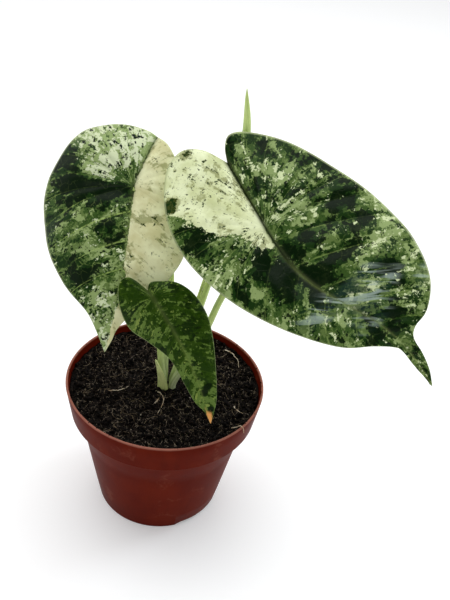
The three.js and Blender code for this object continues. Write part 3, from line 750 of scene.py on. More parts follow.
def blade(name, leaf, sector, finish, node):
    """A whole blade: a grid bent into leaf shape, then given its underside and ribs."""
    origin, right, tipward, out = blade_axes(leaf)
    rays = {side: margin_rays(leaf, side) for side in ("left", "right")}
    rows = MIDRIB_ROWS + LOBE_ROWS
    bm = bmesh.new()
    bmesh.ops.create_grid(bm, x_segments=2 * COLUMNS, y_segments=rows, size=1)
    layers = {key: bm.verts.layers.float.new(key) for key in LAYERS}
    number = bm.verts.layers.int.new("number")
    spots = {}
    streaks = {}
    for i, vert in enumerate(bm.verts):
        column = round(vert.co.x * COLUMNS)
        row = round((vert.co.y + 1) / 2 * rows)
        side = "left" if column < 0 else "right"
        edge, way, foot = rays[side][row]
        reach = (abs(column) / COLUMNS) ** COLUMN_CROWDING
        spot = foot.lerp(edge, reach)
        u, v = spot.x / leaf["half_width"], spot.y / leaf["length"]
        calm = min(1, row / TIP_ROWS) * leaf["half_width"] / FULL_RELIEF_WIDTH
        still = calm * min(1, spot.length / (18 * MM))
        creamy = sector(u, v, (spot.x - axis_at(leaf, spot.y)) / leaf["half_width"])
        way += VEIN_SWEEP * reach * reach
        spots[i] = spot
        streaks[i] = (way * STREAK_FAN + (LEFT_STREAKS if side == "left" else 0),
                      (spot - foot).length / MAP_SIZE * STREAK_LENGTH)
        vert[number] = i
        vein = vein_depth(leaf, way, reach) * still * (1 - 0.7 * creamy)
        beside = abs(spot.x - axis_at(leaf, spot.y))
        midrib = bell(beside, MIDRIB_WIDTH * (1.25 - 0.8 * max(0, v)))
        pleat = reach * (1 - reach) * 4 * math.sin(way * leaf["veins"] * 2 * math.pi - math.pi / 2)
        rise = RIPPLE * reach**3 * math.sin(way * RIPPLE_RATE + (RIPPLE_SHIFT if side == "left" else 0))
        rise += PLEAT * pleat * still * (1 - 0.6 * creamy)
        rise += DENT * noise.noise(Vector((spot.x, spot.y, 0)) * DENT_RATE) * min(1, reach * 4)
        rise -= VEIN_GROOVE * vein + MIDRIB_GROOVE * midrib * (1 - max(0, v) ** 3)
        for a, b, width, height, lift in leaf["swells"]:
            rise += lift * MM * bell(math.hypot((u - a) / width, (v - b) / height), 1)
        rise = rise * calm + relief_at(leaf, spot.x, spot.y)
        vert.co = origin + right * spot.x + tipward * spot.y + out * rise
        first, last = leaf["crease_shade"]
        # The painted shade of the notch gap and midrib crease, between its start and end along y.
        vert[layers["crease_shade"]] = bell(beside, CREASE_SHADE_WIDTH) * step(v - first, 0.01) * step(last - v, 0.02)
        vert[layers["way"]] = way
        vert[layers["reach"]] = reach
        vert[layers["rib"]] = midrib
        vert[layers["cream"]] = creamy
        for key in PAINTED:
            vert[layers[key]] = painted(leaf, key, u, v)
    bmesh.ops.remove_doubles(bm, verts=bm.verts, dist=1e-6)
    bmesh.ops.recalc_face_normals(bm, faces=bm.faces)
    if bm.faces[len(bm.faces) // 2].normal.dot(out) < 0:
        bmesh.ops.reverse_faces(bm, faces=bm.faces)
    bm.normal_update()
    plane = bm.loops.layers.uv.new("plane")
    fan = bm.loops.layers.uv.new("streak")
    for face in bm.faces:
        for loop in face.loops:
            loop[plane].uv = spots[loop.vert[number]] / MAP_SIZE
            loop[fan].uv = streaks[loop.vert[number]]
    normals = {vert[number]: vert.normal.copy() for vert in bm.verts}
    made = bmesh.ops.extrude_face_region(bm, geom=bm.faces[:], use_keep_orig=True)["geom"]
    lower = {item for item in made if isinstance(item, bmesh.types.BMVert)}
    for vert in bm.verts:
        reach = vert[layers["reach"]]
        half = BLADE_THICKNESS / 2 * (1 - 0.6 * reach**5)
        normal = normals[vert[number]]
        if vert in lower:
            fade = 1 - 0.8 * max(0, spots[vert[number]].y / leaf["length"])
            vein = vein_depth(leaf, vert[layers["way"]], reach)
            vert.co -= normal * (half + MIDRIB_KEEL * vert[layers["rib"]] * fade + VEIN_KEEL * vein)
            vert[layers["under"]] = 1
        else:
            vert.co += normal * half
    bmesh.ops.recalc_face_normals(bm, faces=bm.faces)
    return finished(name, bm, finish, [node])


# ---------- colours of the leaves ----------

# A "_from" value is the level of noise at which a kind of patch begins: a lower one gives more of it.

LOOK = {
    "green": shade(58, 84, 34), "olive": shade(97, 119, 62), "light": shade(142, 162, 102),
    # The next two colours are the painted reflection's light streaks and its dark bands.
    "dark": shade(3, 22, 1), "deep": shade(24, 50, 12), "bright": shade(210, 222, 172),
    "painted_reflection": shade(168, 186, 176), "painted_reflection_dark": shade(30, 52, 48),
    "cream": shade(202, 198, 146), "ivory": shade(232, 234, 190), "fleck": shade(62, 72, 28),
    "stain": shade(132, 136, 78), "stain_from": 0.575, "olive_from": 0.5, "cream_from": 0.5,
    "light_from": 0.53, "deep_from": 0.525, "dark_from": 0.56, "bright_from": 0.57, "speck_from": 0.6,
    "fleck_from": 0.625, "vein": shade(168, 194, 104), "vein_strength": 0.6, "vein_width": 0.045,
    "net": 17, "net_strength": 0.4, "rib": shade(176, 190, 120), "rib_strength": 0.15,
    # The dark line painted as shade in the notch gap and along the midrib's crease.
    "crease_shade": shade(14, 28, 10), "crease_shade_strength": 0.5,
    "edge": shade(190, 200, 150), "edge_strength": 0.6,
    "under": shade(150, 168, 120), "rough": 0.34,
}
LEFT_LOOK = LOOK | {
    "light_from": 0.52, "bright": shade(206, 216, 176), "bright_from": 0.58, "speck_from": 0.585,
    "vein_strength": 0.75,
}
RIGHT_LOOK = LOOK | {
    "rough": 0.28, "fleck_from": 0.6, "cream": shade(208, 216, 160), "ivory": shade(242, 250, 206),
    "net_strength": 0.12, "vein_strength": 0.4, "vein_width": 0.035, "stain_from": 0.6,
    "rib": shade(150, 166, 96), "rib_strength": 0.35, "crease_shade_strength": 0.95, "bright_from": 0.575,
}
FRONT_LOOK = LOOK | {
    "green": shade(31, 55, 4), "olive": shade(44, 68, 10), "light": shade(92, 116, 50),
    "dark": shade(11, 28, 1), "deep": shade(22, 42, 4), "bright": shade(124, 142, 66),
    "light_from": 0.535, "deep_from": 0.54, "dark_from": 0.6, "bright_from": 0.6, "speck_from": 0.66,
    "net_strength": 0.1, "vein_strength": 0.25, "vein": shade(84, 108, 44), "rib": shade(120, 140, 66),
    "rib_strength": 0.4, "rough": 0.28, "dead_tip": shade(226, 160, 90), "edge": shade(150, 168, 104),
}


def step(value, soft):
    """0 well below zero, 1 well above it."""
    return 1 / (1 + math.exp(-value / soft)) if abs(value / soft) < 30 else float(value > 0)


def left_cream(u, v, side):
    """The right half is cream from the notch to the tip."""
    return step(side - 0.012 - 0.05 * step(v - 0.52, 0.03) * step(0.68 - v, 0.03), 0.012)


def right_cream(u, v, side):
    """A cream wedge fills most of the left lobe."""
    return step(0.2 + 0.94 * u - v, 0.05) * step(-side - 0.01, 0.012) * step(0.12 - v, 0.025)


def no_cream(u, v, side):
    return 0


# ---------- other finishes ----------


def pot_finish():
    """Satin brown plastic with a painted highlight along the rim's top, partly edge wear, with dust and a few
    specks of soil.
    """
    finish, tree, shader = new_finish("pot_plastic", 0.5, 0.02)
    place = place_on(tree)
    cloud = field(tree, place, 38, 4, 0.6)
    colour = blend(tree, ramp(tree, cloud, 0.35, 0.68), shade(86, 18, 3), shade(96, 25, 6))
    streak = field(tree, stretched(tree, place, (1, 1, 0.06)), 240, 3, 0.55)
    colour = blend(tree, ramp(tree, streak, 0.45, 0.75, 0, 0.25), colour, shade(70, 15, 4))
    height = add(tree, "SeparateXYZ", Vector=place).outputs["Z"]
    height = calc(tree, "MULTIPLY_ADD", cloud, 1.2 * MM, height)
    # Painted highlight along the top of the rim, partly edge wear.
    lip = ramp(tree, height, RIM_Z - 0.8 * MM, RIM_Z + 0.6 * MM)
    colour = blend(tree, calc(tree, "MULTIPLY", lip, 0.6), colour, shade(184, 126, 108))
    dust = use(tree, PATCHES, Plane=place, Streak=place, Scale=60, Grain=420, Threshold=0.62, Softness=0.05)
    colour = blend(tree, calc(tree, "MULTIPLY", dust["Mask"], 0.3), colour, shade(130, 74, 56))
    crumb = use(tree, PATCHES, Plane=place, Streak=place, Scale=300, Grain=900, Threshold=0.7, Softness=0.01)
    colour = blend(tree, crumb["Mask"], colour, shade(36, 16, 10))
    join(tree, colour, shader["Base Color"])
    join(tree, calc(tree, "MULTIPLY_ADD", cloud, 0.16, 0.34), shader["Roughness"])
    grain = calc(tree, "MULTIPLY_ADD", field(tree, place, 1600, 2), 0.4, streak)
    bumped(tree, shader, grain, 0.12 * MM, 0.35)
    return finish


def peat_finish(name, first, second, rough=0.7):
    """Two tones in clods, with a fine rough grain."""
    finish, tree, shader = new_finish(name, rough, 0.05)
    place = place_on(tree)
    clod = field(tree, place, 640, 4, 0.7)
    colour = blend(tree, ramp(tree, clod, 0.46, 0.66), first, second)
    join(tree, colour, shader["Base Color"])
    fine = field(tree, place, 1300, 3, 0.65)
    join(tree, calc(tree, "MULTIPLY_ADD", fine, 0.25, rough - 0.2), shader["Roughness"])
    bumped(tree, shader, calc(tree, "MULTIPLY_ADD", fine, 0.5, clod), 0.8 * MM, 0.9)
    return finish


STRIPES_ROUND = 26
STRIPES_ALONG = 3


def stalk_finish(name, foot, top, stripe, rough=0.42):
    """Green that changes from foot to top, with fine lengthwise stripes."""
    finish, tree, shader = new_finish(name, rough, 0.5)
    along = attribute(tree, "along")
    around = attribute(tree, "around")
    colour = blend(tree, ramp(tree, along, 0.02, 0.5), foot, top)
    way = add(tree, "CombineXYZ", X=calc(tree, "MULTIPLY", around, STRIPES_ROUND),
              Y=calc(tree, "MULTIPLY", along, STRIPES_ALONG))
    lines = field(tree, way.outputs[0], 1, 4, 0.6)
    colour = blend(tree, ramp(tree, lines, 0.42, 0.66, 0, 0.7), colour, stripe)
    mottle = field(tree, place_on(tree), 330, 3)
    colour = blend(tree, ramp(tree, mottle, 0.55, 0.75, 0, 0.35), colour, shade(96, 118, 60))
    join(tree, colour, shader["Base Color"])
    join(tree, calc(tree, "MULTIPLY_ADD", mottle, 0.16, rough - 0.08), shader["Roughness"])
    bumped(tree, shader, calc(tree, "MULTIPLY_ADD", mottle, 0.3, lines), 0.3 * MM, 0.5)
    return finish


def root_finish():
    finish, tree, shader = new_finish("root_hair", 0.7, 0.3)
    place = place_on(tree)
    tone = field(tree, place, 260, 3)
    colour = blend(tree, ramp(tree, tone, 0.35, 0.65), shade(232, 218, 194), shade(176, 148, 116))
    join(tree, colour, shader["Base Color"])
    join(tree, calc(tree, "MULTIPLY_ADD", tone, 0.3, 0.55), shader["Roughness"])
    bumped(tree, shader, field(tree, place, 1800, 2), 0.15 * MM, 0.6)
    return finish


def corm_finish():
    finish, tree, shader = new_finish("corm_skin", 0.85, 0.3)
    place = place_on(tree)
    rings = add(tree, "TexWave", {"bands_direction": "Z"}, Vector=place, Scale=180, Distortion=3)
    tone = field(tree, place, 200, 4)
    colour = blend(tree, rings.outputs["Fac"], shade(104, 74, 46), shade(70, 48, 32))
    colour = blend(tree, ramp(tree, tone, 0.4, 0.7, 0, 0.5), colour, shade(140, 108, 74))
    join(tree, colour, shader["Base Color"])
    join(tree, calc(tree, "MULTIPLY_ADD", tone, 0.2, 0.7), shader["Roughness"])
    bumped(tree, shader, rings.outputs["Fac"], 0.6 * MM, 0.8)
    return finish


# ---------- pot ----------


def body_radius_at(z):
    """The outer radius of the tapered body."""
    return BASE_RADIUS + (BODY_TOP_RADIUS - BASE_RADIUS) * z / (RIM_Z - COLLAR_HEIGHT)


def collar_radius_at(z):
    """The outer radius of the collar."""
    share = (z - (RIM_Z - COLLAR_HEIGHT)) / COLLAR_HEIGHT
    return COLLAR_FOOT_RADIUS + (RIM_RADIUS - COLLAR_FOOT_RADIUS) * share


def rounded(centre, radius, start, stop, count=5):
    """Points of an arc in the profile plane, angles in degrees from outwards to upwards."""
    angles = [math.radians(start + (stop - start) * i / count) for i in range(count + 1)]
    return [(centre[0] + radius * math.cos(a), centre[1] + radius * math.sin(a)) for a in angles]


def pot_piece(finish):
    """The wall is spun from its profile, then the foot and the drain openings are cut."""
    foot_z = RIM_Z - COLLAR_HEIGHT
    step_z = foot_z + POT_WALL
    lip = POT_WALL / 2
    profile = [(0, 0), (BASE_RADIUS - 8 * MM, 0)]
    profile += rounded((BASE_RADIUS - FOOT_ROUNDING, FOOT_ROUNDING), FOOT_ROUNDING, -90, 0)
    profile += [(body_radius_at(z * MM), z * MM) for z in WALL_HEIGHTS]
    profile += [(body_radius_at(foot_z - 1.2 * MM), foot_z - 1.2 * MM)]
    profile += rounded((COLLAR_FOOT_RADIUS - 1.1 * MM, foot_z + 0.8 * MM), LEDGE_ROUNDING, -80, 0)
    profile += [(collar_radius_at(RIM_Z - 8 * MM), RIM_Z - 8 * MM)]
    profile += rounded((RIM_RADIUS - lip, RIM_Z - lip), lip, 0, 180, 8)
    profile += [(collar_radius_at(step_z) - POT_WALL, step_z + 0.6 * MM)]
    profile += [(body_radius_at(step_z) - POT_WALL, step_z - 0.4 * MM)]
    profile += [(body_radius_at(FLOOR_THICKNESS) - POT_WALL, FLOOR_THICKNESS), (0, FLOOR_THICKNESS)]
    bm = bmesh.new()
    verts = [bm.verts.new((r, 0, z)) for r, z in profile]
    edges = [bm.edges.new(pair) for pair in zip(verts, verts[1:])]
    bmesh.ops.spin(bm, geom=verts + edges, axis=(0, 0, 1), cent=(0, 0, 0), angle=2 * math.pi, steps=POT_SIDES,
                   use_merge=True)
    bmesh.ops.remove_doubles(bm, verts=bm.verts, dist=1e-6)
    bmesh.ops.recalc_face_normals(bm, faces=bm.faces)
    shell = finished("pot_shell", bm, finish, ["pot"])
    for direction in ARCH_DIRECTIONS:
        cut(shell, arch_cutter(math.radians(direction)))
    for i in range(DRAIN_COUNT):
        cut(shell, drain_cutter(2 * math.pi * i / DRAIN_COUNT))
    return shell


def cut(piece, bm):
    """Takes a closed bmesh out of a piece."""
    mesh = bpy.data.meshes.new("cutter")
    bm.to_mesh(mesh)
    bm.free()
    cutter = bpy.data.objects.new("cutter", mesh)
    bpy.context.scene.collection.objects.link(cutter)
    tool = piece.modifiers.new("cut", "BOOLEAN")
    tool.operation = "DIFFERENCE"
    tool.solver = "EXACT"
    tool.object = cutter
    bake_modifiers(piece)
    bpy.data.objects.remove(cutter)


def bake_modifiers(piece):
    """Applies a piece's modifiers to its mesh."""
    ready = piece.evaluated_get(bpy.context.evaluated_depsgraph_get())
    mesh = bpy.data.meshes.new_from_object(ready)
    piece.modifiers.clear()
    piece.data = mesh


def arch_cutter(direction):
    """A flat-topped arch that opens the corner between wall and floor."""
    half = ARCH_WIDTH / 2
    outline = [(-half, -MM), (half, -MM), (half, 0), (0.9 * half, 0.55 * ARCH_HEIGHT),
               (0.78 * half, 0.9 * ARCH_HEIGHT), (0.6 * half, ARCH_HEIGHT), (-0.6 * half, ARCH_HEIGHT),
               (-0.78 * half, 0.9 * ARCH_HEIGHT), (-0.9 * half, 0.55 * ARCH_HEIGHT), (-half, 0)]
    bm = bmesh.new()
    face = bm.faces.new([bm.verts.new((0, y, z)) for y, z in outline])
    made = bmesh.ops.extrude_face_region(bm, geom=[face], use_keep_orig=True)["geom"]
    far = [item for item in made if isinstance(item, bmesh.types.BMVert)]
    bmesh.ops.translate(bm, verts=far, vec=(ARCH_DEPTH, 0, 0))
    bmesh.ops.translate(bm, verts=bm.verts, vec=(BASE_RADIUS - ARCH_DEPTH / 2, 0, 0))
    bmesh.ops.rotate(bm, verts=bm.verts, cent=(0, 0, 0), matrix=Matrix.Rotation(direction, 3, "Z"))
    bmesh.ops.recalc_face_normals(bm, faces=bm.faces)
    return bm


def drain_cutter(angle):
    """A round plug through the floor."""
    bm = bmesh.new()
    place = Matrix.Translation((DRAIN_CIRCLE * math.cos(angle), DRAIN_CIRCLE * math.sin(angle), 0))
    bmesh.ops.create_cone(bm, cap_ends=True, segments=DRAIN_SIDES, radius1=DRAIN_RADIUS, radius2=DRAIN_RADIUS,
                          depth=3 * FLOOR_THICKNESS, matrix=place)
    return bm


# ---------- soil ----------


def soil_height_at(x, y):
    """The lumpy surface of the soil."""
    radius = math.hypot(x, y)
    place = Vector((x, y, 0))
    lumps = noise.fractal(place * LUMP_RATE, 0.8, 2.1, 3) * LUMP_HEIGHT
    grit = noise.noise(place * GRIT_RATE) * GRIT_HEIGHT
    bank = BANK_HEIGHT * step(radius - BANK_START, BANK_SOFTNESS)
    return SOIL_Z + MOUND_HEIGHT * bell(radius, MOUND_RADIUS) + lumps + grit + bank


def soil_piece(finish):
    """A disc of rings drawn inwards, and below it the body that fills the pot."""
    top_radius = collar_radius_at(SOIL_Z) - POT_WALL - SOIL_GAP
    bm = bmesh.new()
    bmesh.ops.create_circle(bm, segments=SOIL_SIDES, radius=top_radius, cap_ends=False)
    edges = list(bm.edges)
    outer = edges
    for i in range(1, SOIL_RINGS):
        made = bmesh.ops.extrude_edge_only(bm, edges=edges)["geom"]
        edges = [item for item in made if isinstance(item, bmesh.types.BMEdge)]
        ring = [item for item in made if isinstance(item, bmesh.types.BMVert)]
        factor = (SOIL_RINGS - i) / (SOIL_RINGS - i + 1)
        bmesh.ops.scale(bm, verts=ring, vec=(factor, factor, 1))
    bmesh.ops.holes_fill(bm, edges=edges, sides=0)
    for vert in bm.verts:
        vert.co.z = soil_height_at(vert.co.x, vert.co.y)
    step_z = RIM_Z - COLLAR_HEIGHT + POT_WALL
    edges = outer
    for radius, z in ((collar_radius_at(step_z) - POT_WALL - 0.4 * MM, step_z + 0.6 * MM),
                      (body_radius_at(step_z) - POT_WALL - 0.6 * MM, step_z),
                      (body_radius_at(FLOOR_THICKNESS) - POT_WALL - 0.4 * MM, FLOOR_THICKNESS + 0.3 * MM)):
        made = bmesh.ops.extrude_edge_only(bm, edges=edges)["geom"]
        edges = [item for item in made if isinstance(item, bmesh.types.BMEdge)]
        for vert in (item for item in made if isinstance(item, bmesh.types.BMVert)):
            direction = Vector((vert.co.x, vert.co.y)).normalized()
            vert.co = (direction.x * radius, direction.y * radius, z)
    bmesh.ops.holes_fill(bm, edges=edges, sides=0)
    bmesh.ops.recalc_face_normals(bm, faces=bm.faces)
    return finished("soil_bed", bm, finish, ["soil"])


def scattered(random, reach):
    """A random place on the soil, away from the stalks."""
    while True:
        radius = reach * math.sqrt(random.random())
        angle = random.uniform(0, 2 * math.pi)
        x, y = radius * math.cos(angle), radius * math.sin(angle)
        if (Vector((x, y)) - PLANT_CENTRE).length > STALKS_CLEARANCE:
            return x, y


ANY_TURN = 6.3


def crumb(bm, spot, size, unevenness, random):
    made = bmesh.ops.create_icosphere(bm, subdivisions=1, radius=size, matrix=spot)
    for vert in made["verts"]:
        vert.co += Vector([random.uniform(-unevenness, unevenness) * size for _ in range(3)])


def crumbs_piece(name, count, sizes, seed, finish):
    """Loose crumbs, each a rough little lump half sunk in the surface."""
    random = Random(seed)
    bm = bmesh.new()
    for _ in range(count):
        x, y = scattered(random, CRUMB_REACH)
        size = random.uniform(*sizes) * random.uniform(0.6, 1) * MM
        turn = Matrix.Rotation(random.uniform(0, ANY_TURN), 4, Vector((random.random(), random.random(), 1)))
        long, *short = (random.uniform(low, high) for low, high in ((0.8, 1.7), (0.5, 0.9), (0.5, 0.9)))
        spot = Matrix.Translation((x, y, soil_height_at(x, y) + size * 0.15))
        crumb(bm, spot @ turn @ Matrix.Diagonal((long, *short, 1)), size, 0.22, random)
    return finished(name, bm, finish)


def fibres_piece(name, count, lengths, width, seed, finish):
    """Short bent fibres that lie on the soil, swept as thin threads."""
    random = Random(seed)
    thread = bpy.data.curves.new(name, "CURVE")
    thread.dimensions = "3D"
    thread.bevel_depth = width
    thread.bevel_resolution = 0
    thread.use_fill_caps = True
    for _ in range(count):
        x, y = scattered(random, FIBRE_REACH)
        heading = random.uniform(0, ANY_TURN)
        bend = random.uniform(-0.9, 0.9)
        length = random.uniform(*lengths) * MM
        spline = thread.splines.new("POLY")
        spline.points.add(FIBRE_STEPS)
        rise = random.uniform(0, 0.9) * MM
        for i, point in enumerate(spline.points):
            lift = rise * math.sin(math.pi * i / FIBRE_STEPS) + 0.25 * MM
            if math.hypot(x, y) > CRUMB_REACH:
                x, y = x * 0.96, y * 0.96
            point.co = (x, y, soil_height_at(x, y) + lift, 1)
            point.radius = 1 - 0.12 * i
            heading += bend * random.uniform(0.2, 1)
            x += length / FIBRE_STEPS * math.cos(heading)
            y += length / FIBRE_STEPS * math.sin(heading)
    holder = bpy.data.objects.new("holder", thread)
    bpy.context.scene.collection.objects.link(holder)
    ready = holder.evaluated_get(bpy.context.evaluated_depsgraph_get())
    mesh = bpy.data.meshes.new_from_object(ready)
    bpy.data.objects.remove(holder)
    for polygon in mesh.polygons:
        polygon.use_smooth = True
    return placed(bpy.data.objects.new(name, mesh), finish)


def rim_dust_piece(finish):
    """Crumbs of soil that lie on the pot's rim."""
    random = Random(5)
    bm = bmesh.new()
    for _ in range(RIM_CRUMB_COUNT):
        angle = random.uniform(0, 2 * math.pi)
        radius = RIM_RADIUS - random.uniform(0.4, 1.5) * MM
        size = random.uniform(0.12, 0.4) * MM
        spot = Matrix.Translation((radius * math.cos(angle), radius * math.sin(angle), RIM_Z - 0.05 * MM))
        crumb(bm, spot, size, 0.25, random)
    return finished("rim_crumbs", bm, finish)


# ---------- stalks, rolled leaf and sheaths ----------

STALK_OUTLINE = circle(24, 5, 0.03)  # round, with five faint ribs
STALK_FLARE = 0.28
CROWN_GAP = 0.3 * MM
BLADE_CLEARANCE = 0.35 * MM
YOUNG_STEPS = 120
SPEAR_SWELL = 0.35
SPEAR_TAPER = 0.3
SPEAR_POINT = 0.7
SPEAR_END_RADIUS = 0.12 * MM
ROLL_SIDES = 36
ROLL_STEP = 0.17
ROLL_TWIST = 1.6


def foot_of(name):
    """The two lowest points of a stalk, straight up from the rootstock."""
    angle = math.radians(FOOT_DIRECTIONS[name])
    x = PLANT_CENTRE.x + FOOT_RING * math.cos(angle)
    y = PLANT_CENTRE.y + FOOT_RING * math.sin(angle)
    foot = Vector((x, y, CROWN_Z + CROWN_GAP))
    return [foot, foot + Vector((0, 0, FOOT_RISE))]


def route_of(name, end=None, count=60):
    via = [Vector((x * MM, y * MM, RIM_Z + height * MM)) for x, y, height in STALK_VIA[name]]
    points = foot_of(name) + via + ([end] if end else [])
    return curve_through(points, count)


def stalk_piece(name, leaf, radius, finish, node):
    """A round stalk, cut off under the blade that it carries."""
    origin, _, _, out = blade_axes(leaf)
    route = route_of(name, origin + out * 1.5 * MM)

    def size_at(share):
        flare = 1 + STALK_FLARE * bell(1 - share, 0.05)
        return (FOOT_RADIUS + (radius - FOOT_RADIUS) * share**0.8) * flare

    bm = swept(route, STALK_OUTLINE, size_at)
    geometry = bm.verts[:] + bm.edges[:] + bm.faces[:]
    made = bmesh.ops.bisect_plane(bm, geom=geometry, dist=1e-6, plane_co=origin - out * BLADE_CLEARANCE,
                                  plane_no=out, clear_outer=True)
    edges = [item for item in made["geom_cut"] if isinstance(item, bmesh.types.BMEdge)]
    bmesh.ops.holes_fill(bm, edges=edges, sides=0)
    bmesh.ops.recalc_face_normals(bm, faces=bm.faces)
    return finished("stalk_" + name, bm, finish, [node])


def young_pieces(stalk_look, leaf_look):
    """The youngest stalk and, above it, the blade that is still rolled up."""
    route = route_of("young", count=YOUNG_STEPS)
    split = round(YOUNG_STEPS * SPEAR_START)
    stem = swept(route[: split + 2], STALK_OUTLINE,
                 lambda share: FOOT_RADIUS + (YOUNG_RADIUS - FOOT_RADIUS) * share)
    finished("stalk_young", stem, stalk_look, ["petiole_new"])

    def rolled_size(share):
        swell = min(1, share / SPEAR_SWELL)
        swell = swell * swell * (3 - 2 * swell)
        body = YOUNG_RADIUS + (ROLLED_RADIUS - YOUNG_RADIUS) * swell
        taper = math.sin(math.pi / 2 * min(1, (1 - share) / SPEAR_TAPER)) ** SPEAR_POINT
        return max(body * taper, SPEAR_END_RADIUS)

    turns = [2 * math.pi * i / (ROLL_SIDES - 1) for i in range(ROLL_SIDES)]
    outline = [Vector((math.cos(t), math.sin(t))) * (1 - ROLL_STEP * t / (2 * math.pi)) for t in turns]
    roll = swept(route[split:], outline, rolled_size, twist=ROLL_TWIST)
    finished("rolled_leaf", roll, leaf_look, ["leaf_new_rolled"])
    return route


SHEATH_HEIGHT = 27 * MM
SHEATH_ROWS = 34
SHEATH_COLUMNS = 26
SHEATH_DIRECTION = 222
SHEATH_HALF_TURN = 100
SHEATH_NARROWING = 0.8
SHEATH_CLEARANCE = 0.55 * MM
SHEATH_WALL = 0.5 * MM
SHEATH_CURL = 0.5 * MM
SHEATH_FLARE = 0.7 * MM


def sheath_piece(finish):
    """The old sheath round the front stalk's foot: a sheet bent round it, open at the back."""
    route = route_of("front", count=60, end=blade_axes(FRONT_LEAF)[0])
    lengths = [0.0]
    for a, b in zip(route, route[1:]):
        lengths.append(lengths[-1] + (b - a).length)
    bm = bmesh.new()
    along = bm.verts.layers.float.new("along")
    around = bm.verts.layers.float.new("around")
    bmesh.ops.create_grid(bm, x_segments=SHEATH_COLUMNS, y_segments=SHEATH_ROWS, size=1)
    for vert in bm.verts:
        u, v = vert.co.x, (vert.co.y + 1) / 2
        reach = v * SHEATH_HEIGHT
        index = max(i for i, length in enumerate(lengths) if length <= reach)
        step_share = (reach - lengths[index]) / max(lengths[index + 1] - lengths[index], 1e-9)
        centre = route[index].lerp(route[index + 1], step_share)
        half = math.radians(SHEATH_HALF_TURN) * (1 - SHEATH_NARROWING * v**2.2)
        angle = math.radians(SHEATH_DIRECTION) + u * half
        flare = SHEATH_CURL * abs(u) ** 3 + SHEATH_FLARE * (1 - v) ** 3
        radius = FOOT_RADIUS + SHEATH_CLEARANCE + flare
        vert.co = (centre.x + radius * math.cos(angle), centre.y + radius * math.sin(angle), centre.z)
        vert[along] = v
        vert[around] = u
    bmesh.ops.recalc_face_normals(bm, faces=bm.faces)
    piece = finished("sheath_front", bm, finish, ["sheath_base"])
    wall = piece.modifiers.new("wall", "SOLIDIFY")
    wall.thickness = SHEATH_WALL
    wall.offset = 0
    bake_modifiers(piece)
    for polygon in piece.data.polygons:
        polygon.use_smooth = True
    return piece


STRIP_DIRECTION = 143
STRIP_CLEARANCE = 1.1 * MM
STRIP_HALF_WIDTH = 2.5 * MM
STRIP_FLATNESS = 0.2
STRIP_SPAN = slice(24, 61)  # the points of the youngest stalk's route that it lies beside


def strip_piece(route, finish):
    """A thin tapering sheath strip that lies against the youngest stalk."""
    away = math.radians(STRIP_DIRECTION)
    offset = YOUNG_RADIUS + STRIP_CLEARANCE
    points = [p + Vector((offset * math.cos(away), offset * math.sin(away), 0)) for p in route[STRIP_SPAN]]
    outline = [Vector((spot.x, STRIP_FLATNESS * spot.y)) for spot in circle(24)]

    def width_at(share):
        return STRIP_HALF_WIDTH * (0.3 + 0.7 * math.sin(math.pi * share) ** 0.6)

    bm = swept(points, outline, width_at, across=(math.sin(away), -math.cos(away), 0))
    return finished("sheath_strip", bm, finish, ["sheath_new"])


# ---------- surface roots ----------


def strand(name, points, start, across, finish, node):
    """A dry root that thins towards its far end."""

    def size_at(share):
        return STRAND_RADIUS * (start - 0.5 * share)

    finished(name, swept(points, circle(STRAND_SIDES), size_at, across), finish, [node])


def strands(finish):
    """Dry roots that lie on the soil, and one that hangs over the rim."""
    for name, plan in SURFACE_ROOTS.items():
        flat = curve_through([Vector((x, y)) * MM for x, y in plan], STRAND_STEPS, power=0, clamped=True)
        points = []
        for i, spot in enumerate(flat):
            wander = Vector((noise.noise(Vector((i * 0.3, 0, len(name)))),
                             noise.noise(Vector((0, i * 0.3, len(name)))))) * STRAND_WANDER
            x, y = spot + wander
            points.append(Vector((x, y, soil_height_at(x, y) + STRAND_LIFT)))
        strand(name.replace("root_", "pale_"), points, 0.75, (0, 0, 1), finish, name)
    angle = math.radians(RIM_ROOT_DIRECTION)
    points = [Vector(((RIM_RADIUS + out * MM) * math.cos(angle), (RIM_RADIUS + out * MM) * math.sin(angle),
                      RIM_Z + height * MM)) for out, height in RIM_ROOT]
    across = (-math.sin(angle), math.cos(angle), 0)
    strand("pale_strand_rim", curve_through(points, STRAND_STEPS), 0.9, across, finish, "root_strand_rim")


# ---------- the object ----------

pot_piece(pot_finish())
peat = peat_finish("peat", shade(1, 0, 0), shade(40, 32, 26))
soil_piece(peat)
crumbs_piece("soil_crumbs", CRUMB_COUNT, (0.6, 2.0), 3, peat)
crumbs_piece("soil_flecks", FLECK_COUNT, (0.25, 0.55), 4,
             peat_finish("pale_fleck", shade(164, 152, 134), shade(216, 206, 188), 0.8))
fibres_piece("soil_fibres", FIBRE_COUNT, (2, 6), 0.14 * MM, 8,
             peat_finish("peat_fibre", shade(50, 41, 34), shade(182, 166, 146)))
fibres_piece("soil_hairs", HAIR_COUNT, (4, 12), 0.1 * MM, 9,
             peat_finish("pale_hair", shade(140, 120, 94), shade(196, 180, 152)))
rim_dust_piece(peat)
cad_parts["rootstock"].data.materials.clear()
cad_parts["rootstock"].data.materials.append(corm_finish())

green_stalk = stalk_finish("stalk_green", shade(204, 214, 166), shade(190, 210, 118), shade(134, 160, 72))
for name, leaf, radius in (("left", LEFT_LEAF, 1.6 * MM), ("right", RIGHT_LEAF, 1.7 * MM),
                           ("front", FRONT_LEAF, 1.2 * MM)):
    stalk_piece(name, leaf, radius, green_stalk, "petiole_" + name)
rolled = stalk_finish("rolled_blade", shade(190, 212, 118), shade(206, 226, 138), shade(128, 160, 74))
young_route = young_pieces(green_stalk, rolled)
sheath = stalk_finish("sheath_skin", shade(238, 248, 160), shade(240, 250, 172), shade(196, 216, 112), 0.5)
sheath_piece(sheath)
strip_piece(young_route, sheath)
strands(root_finish())

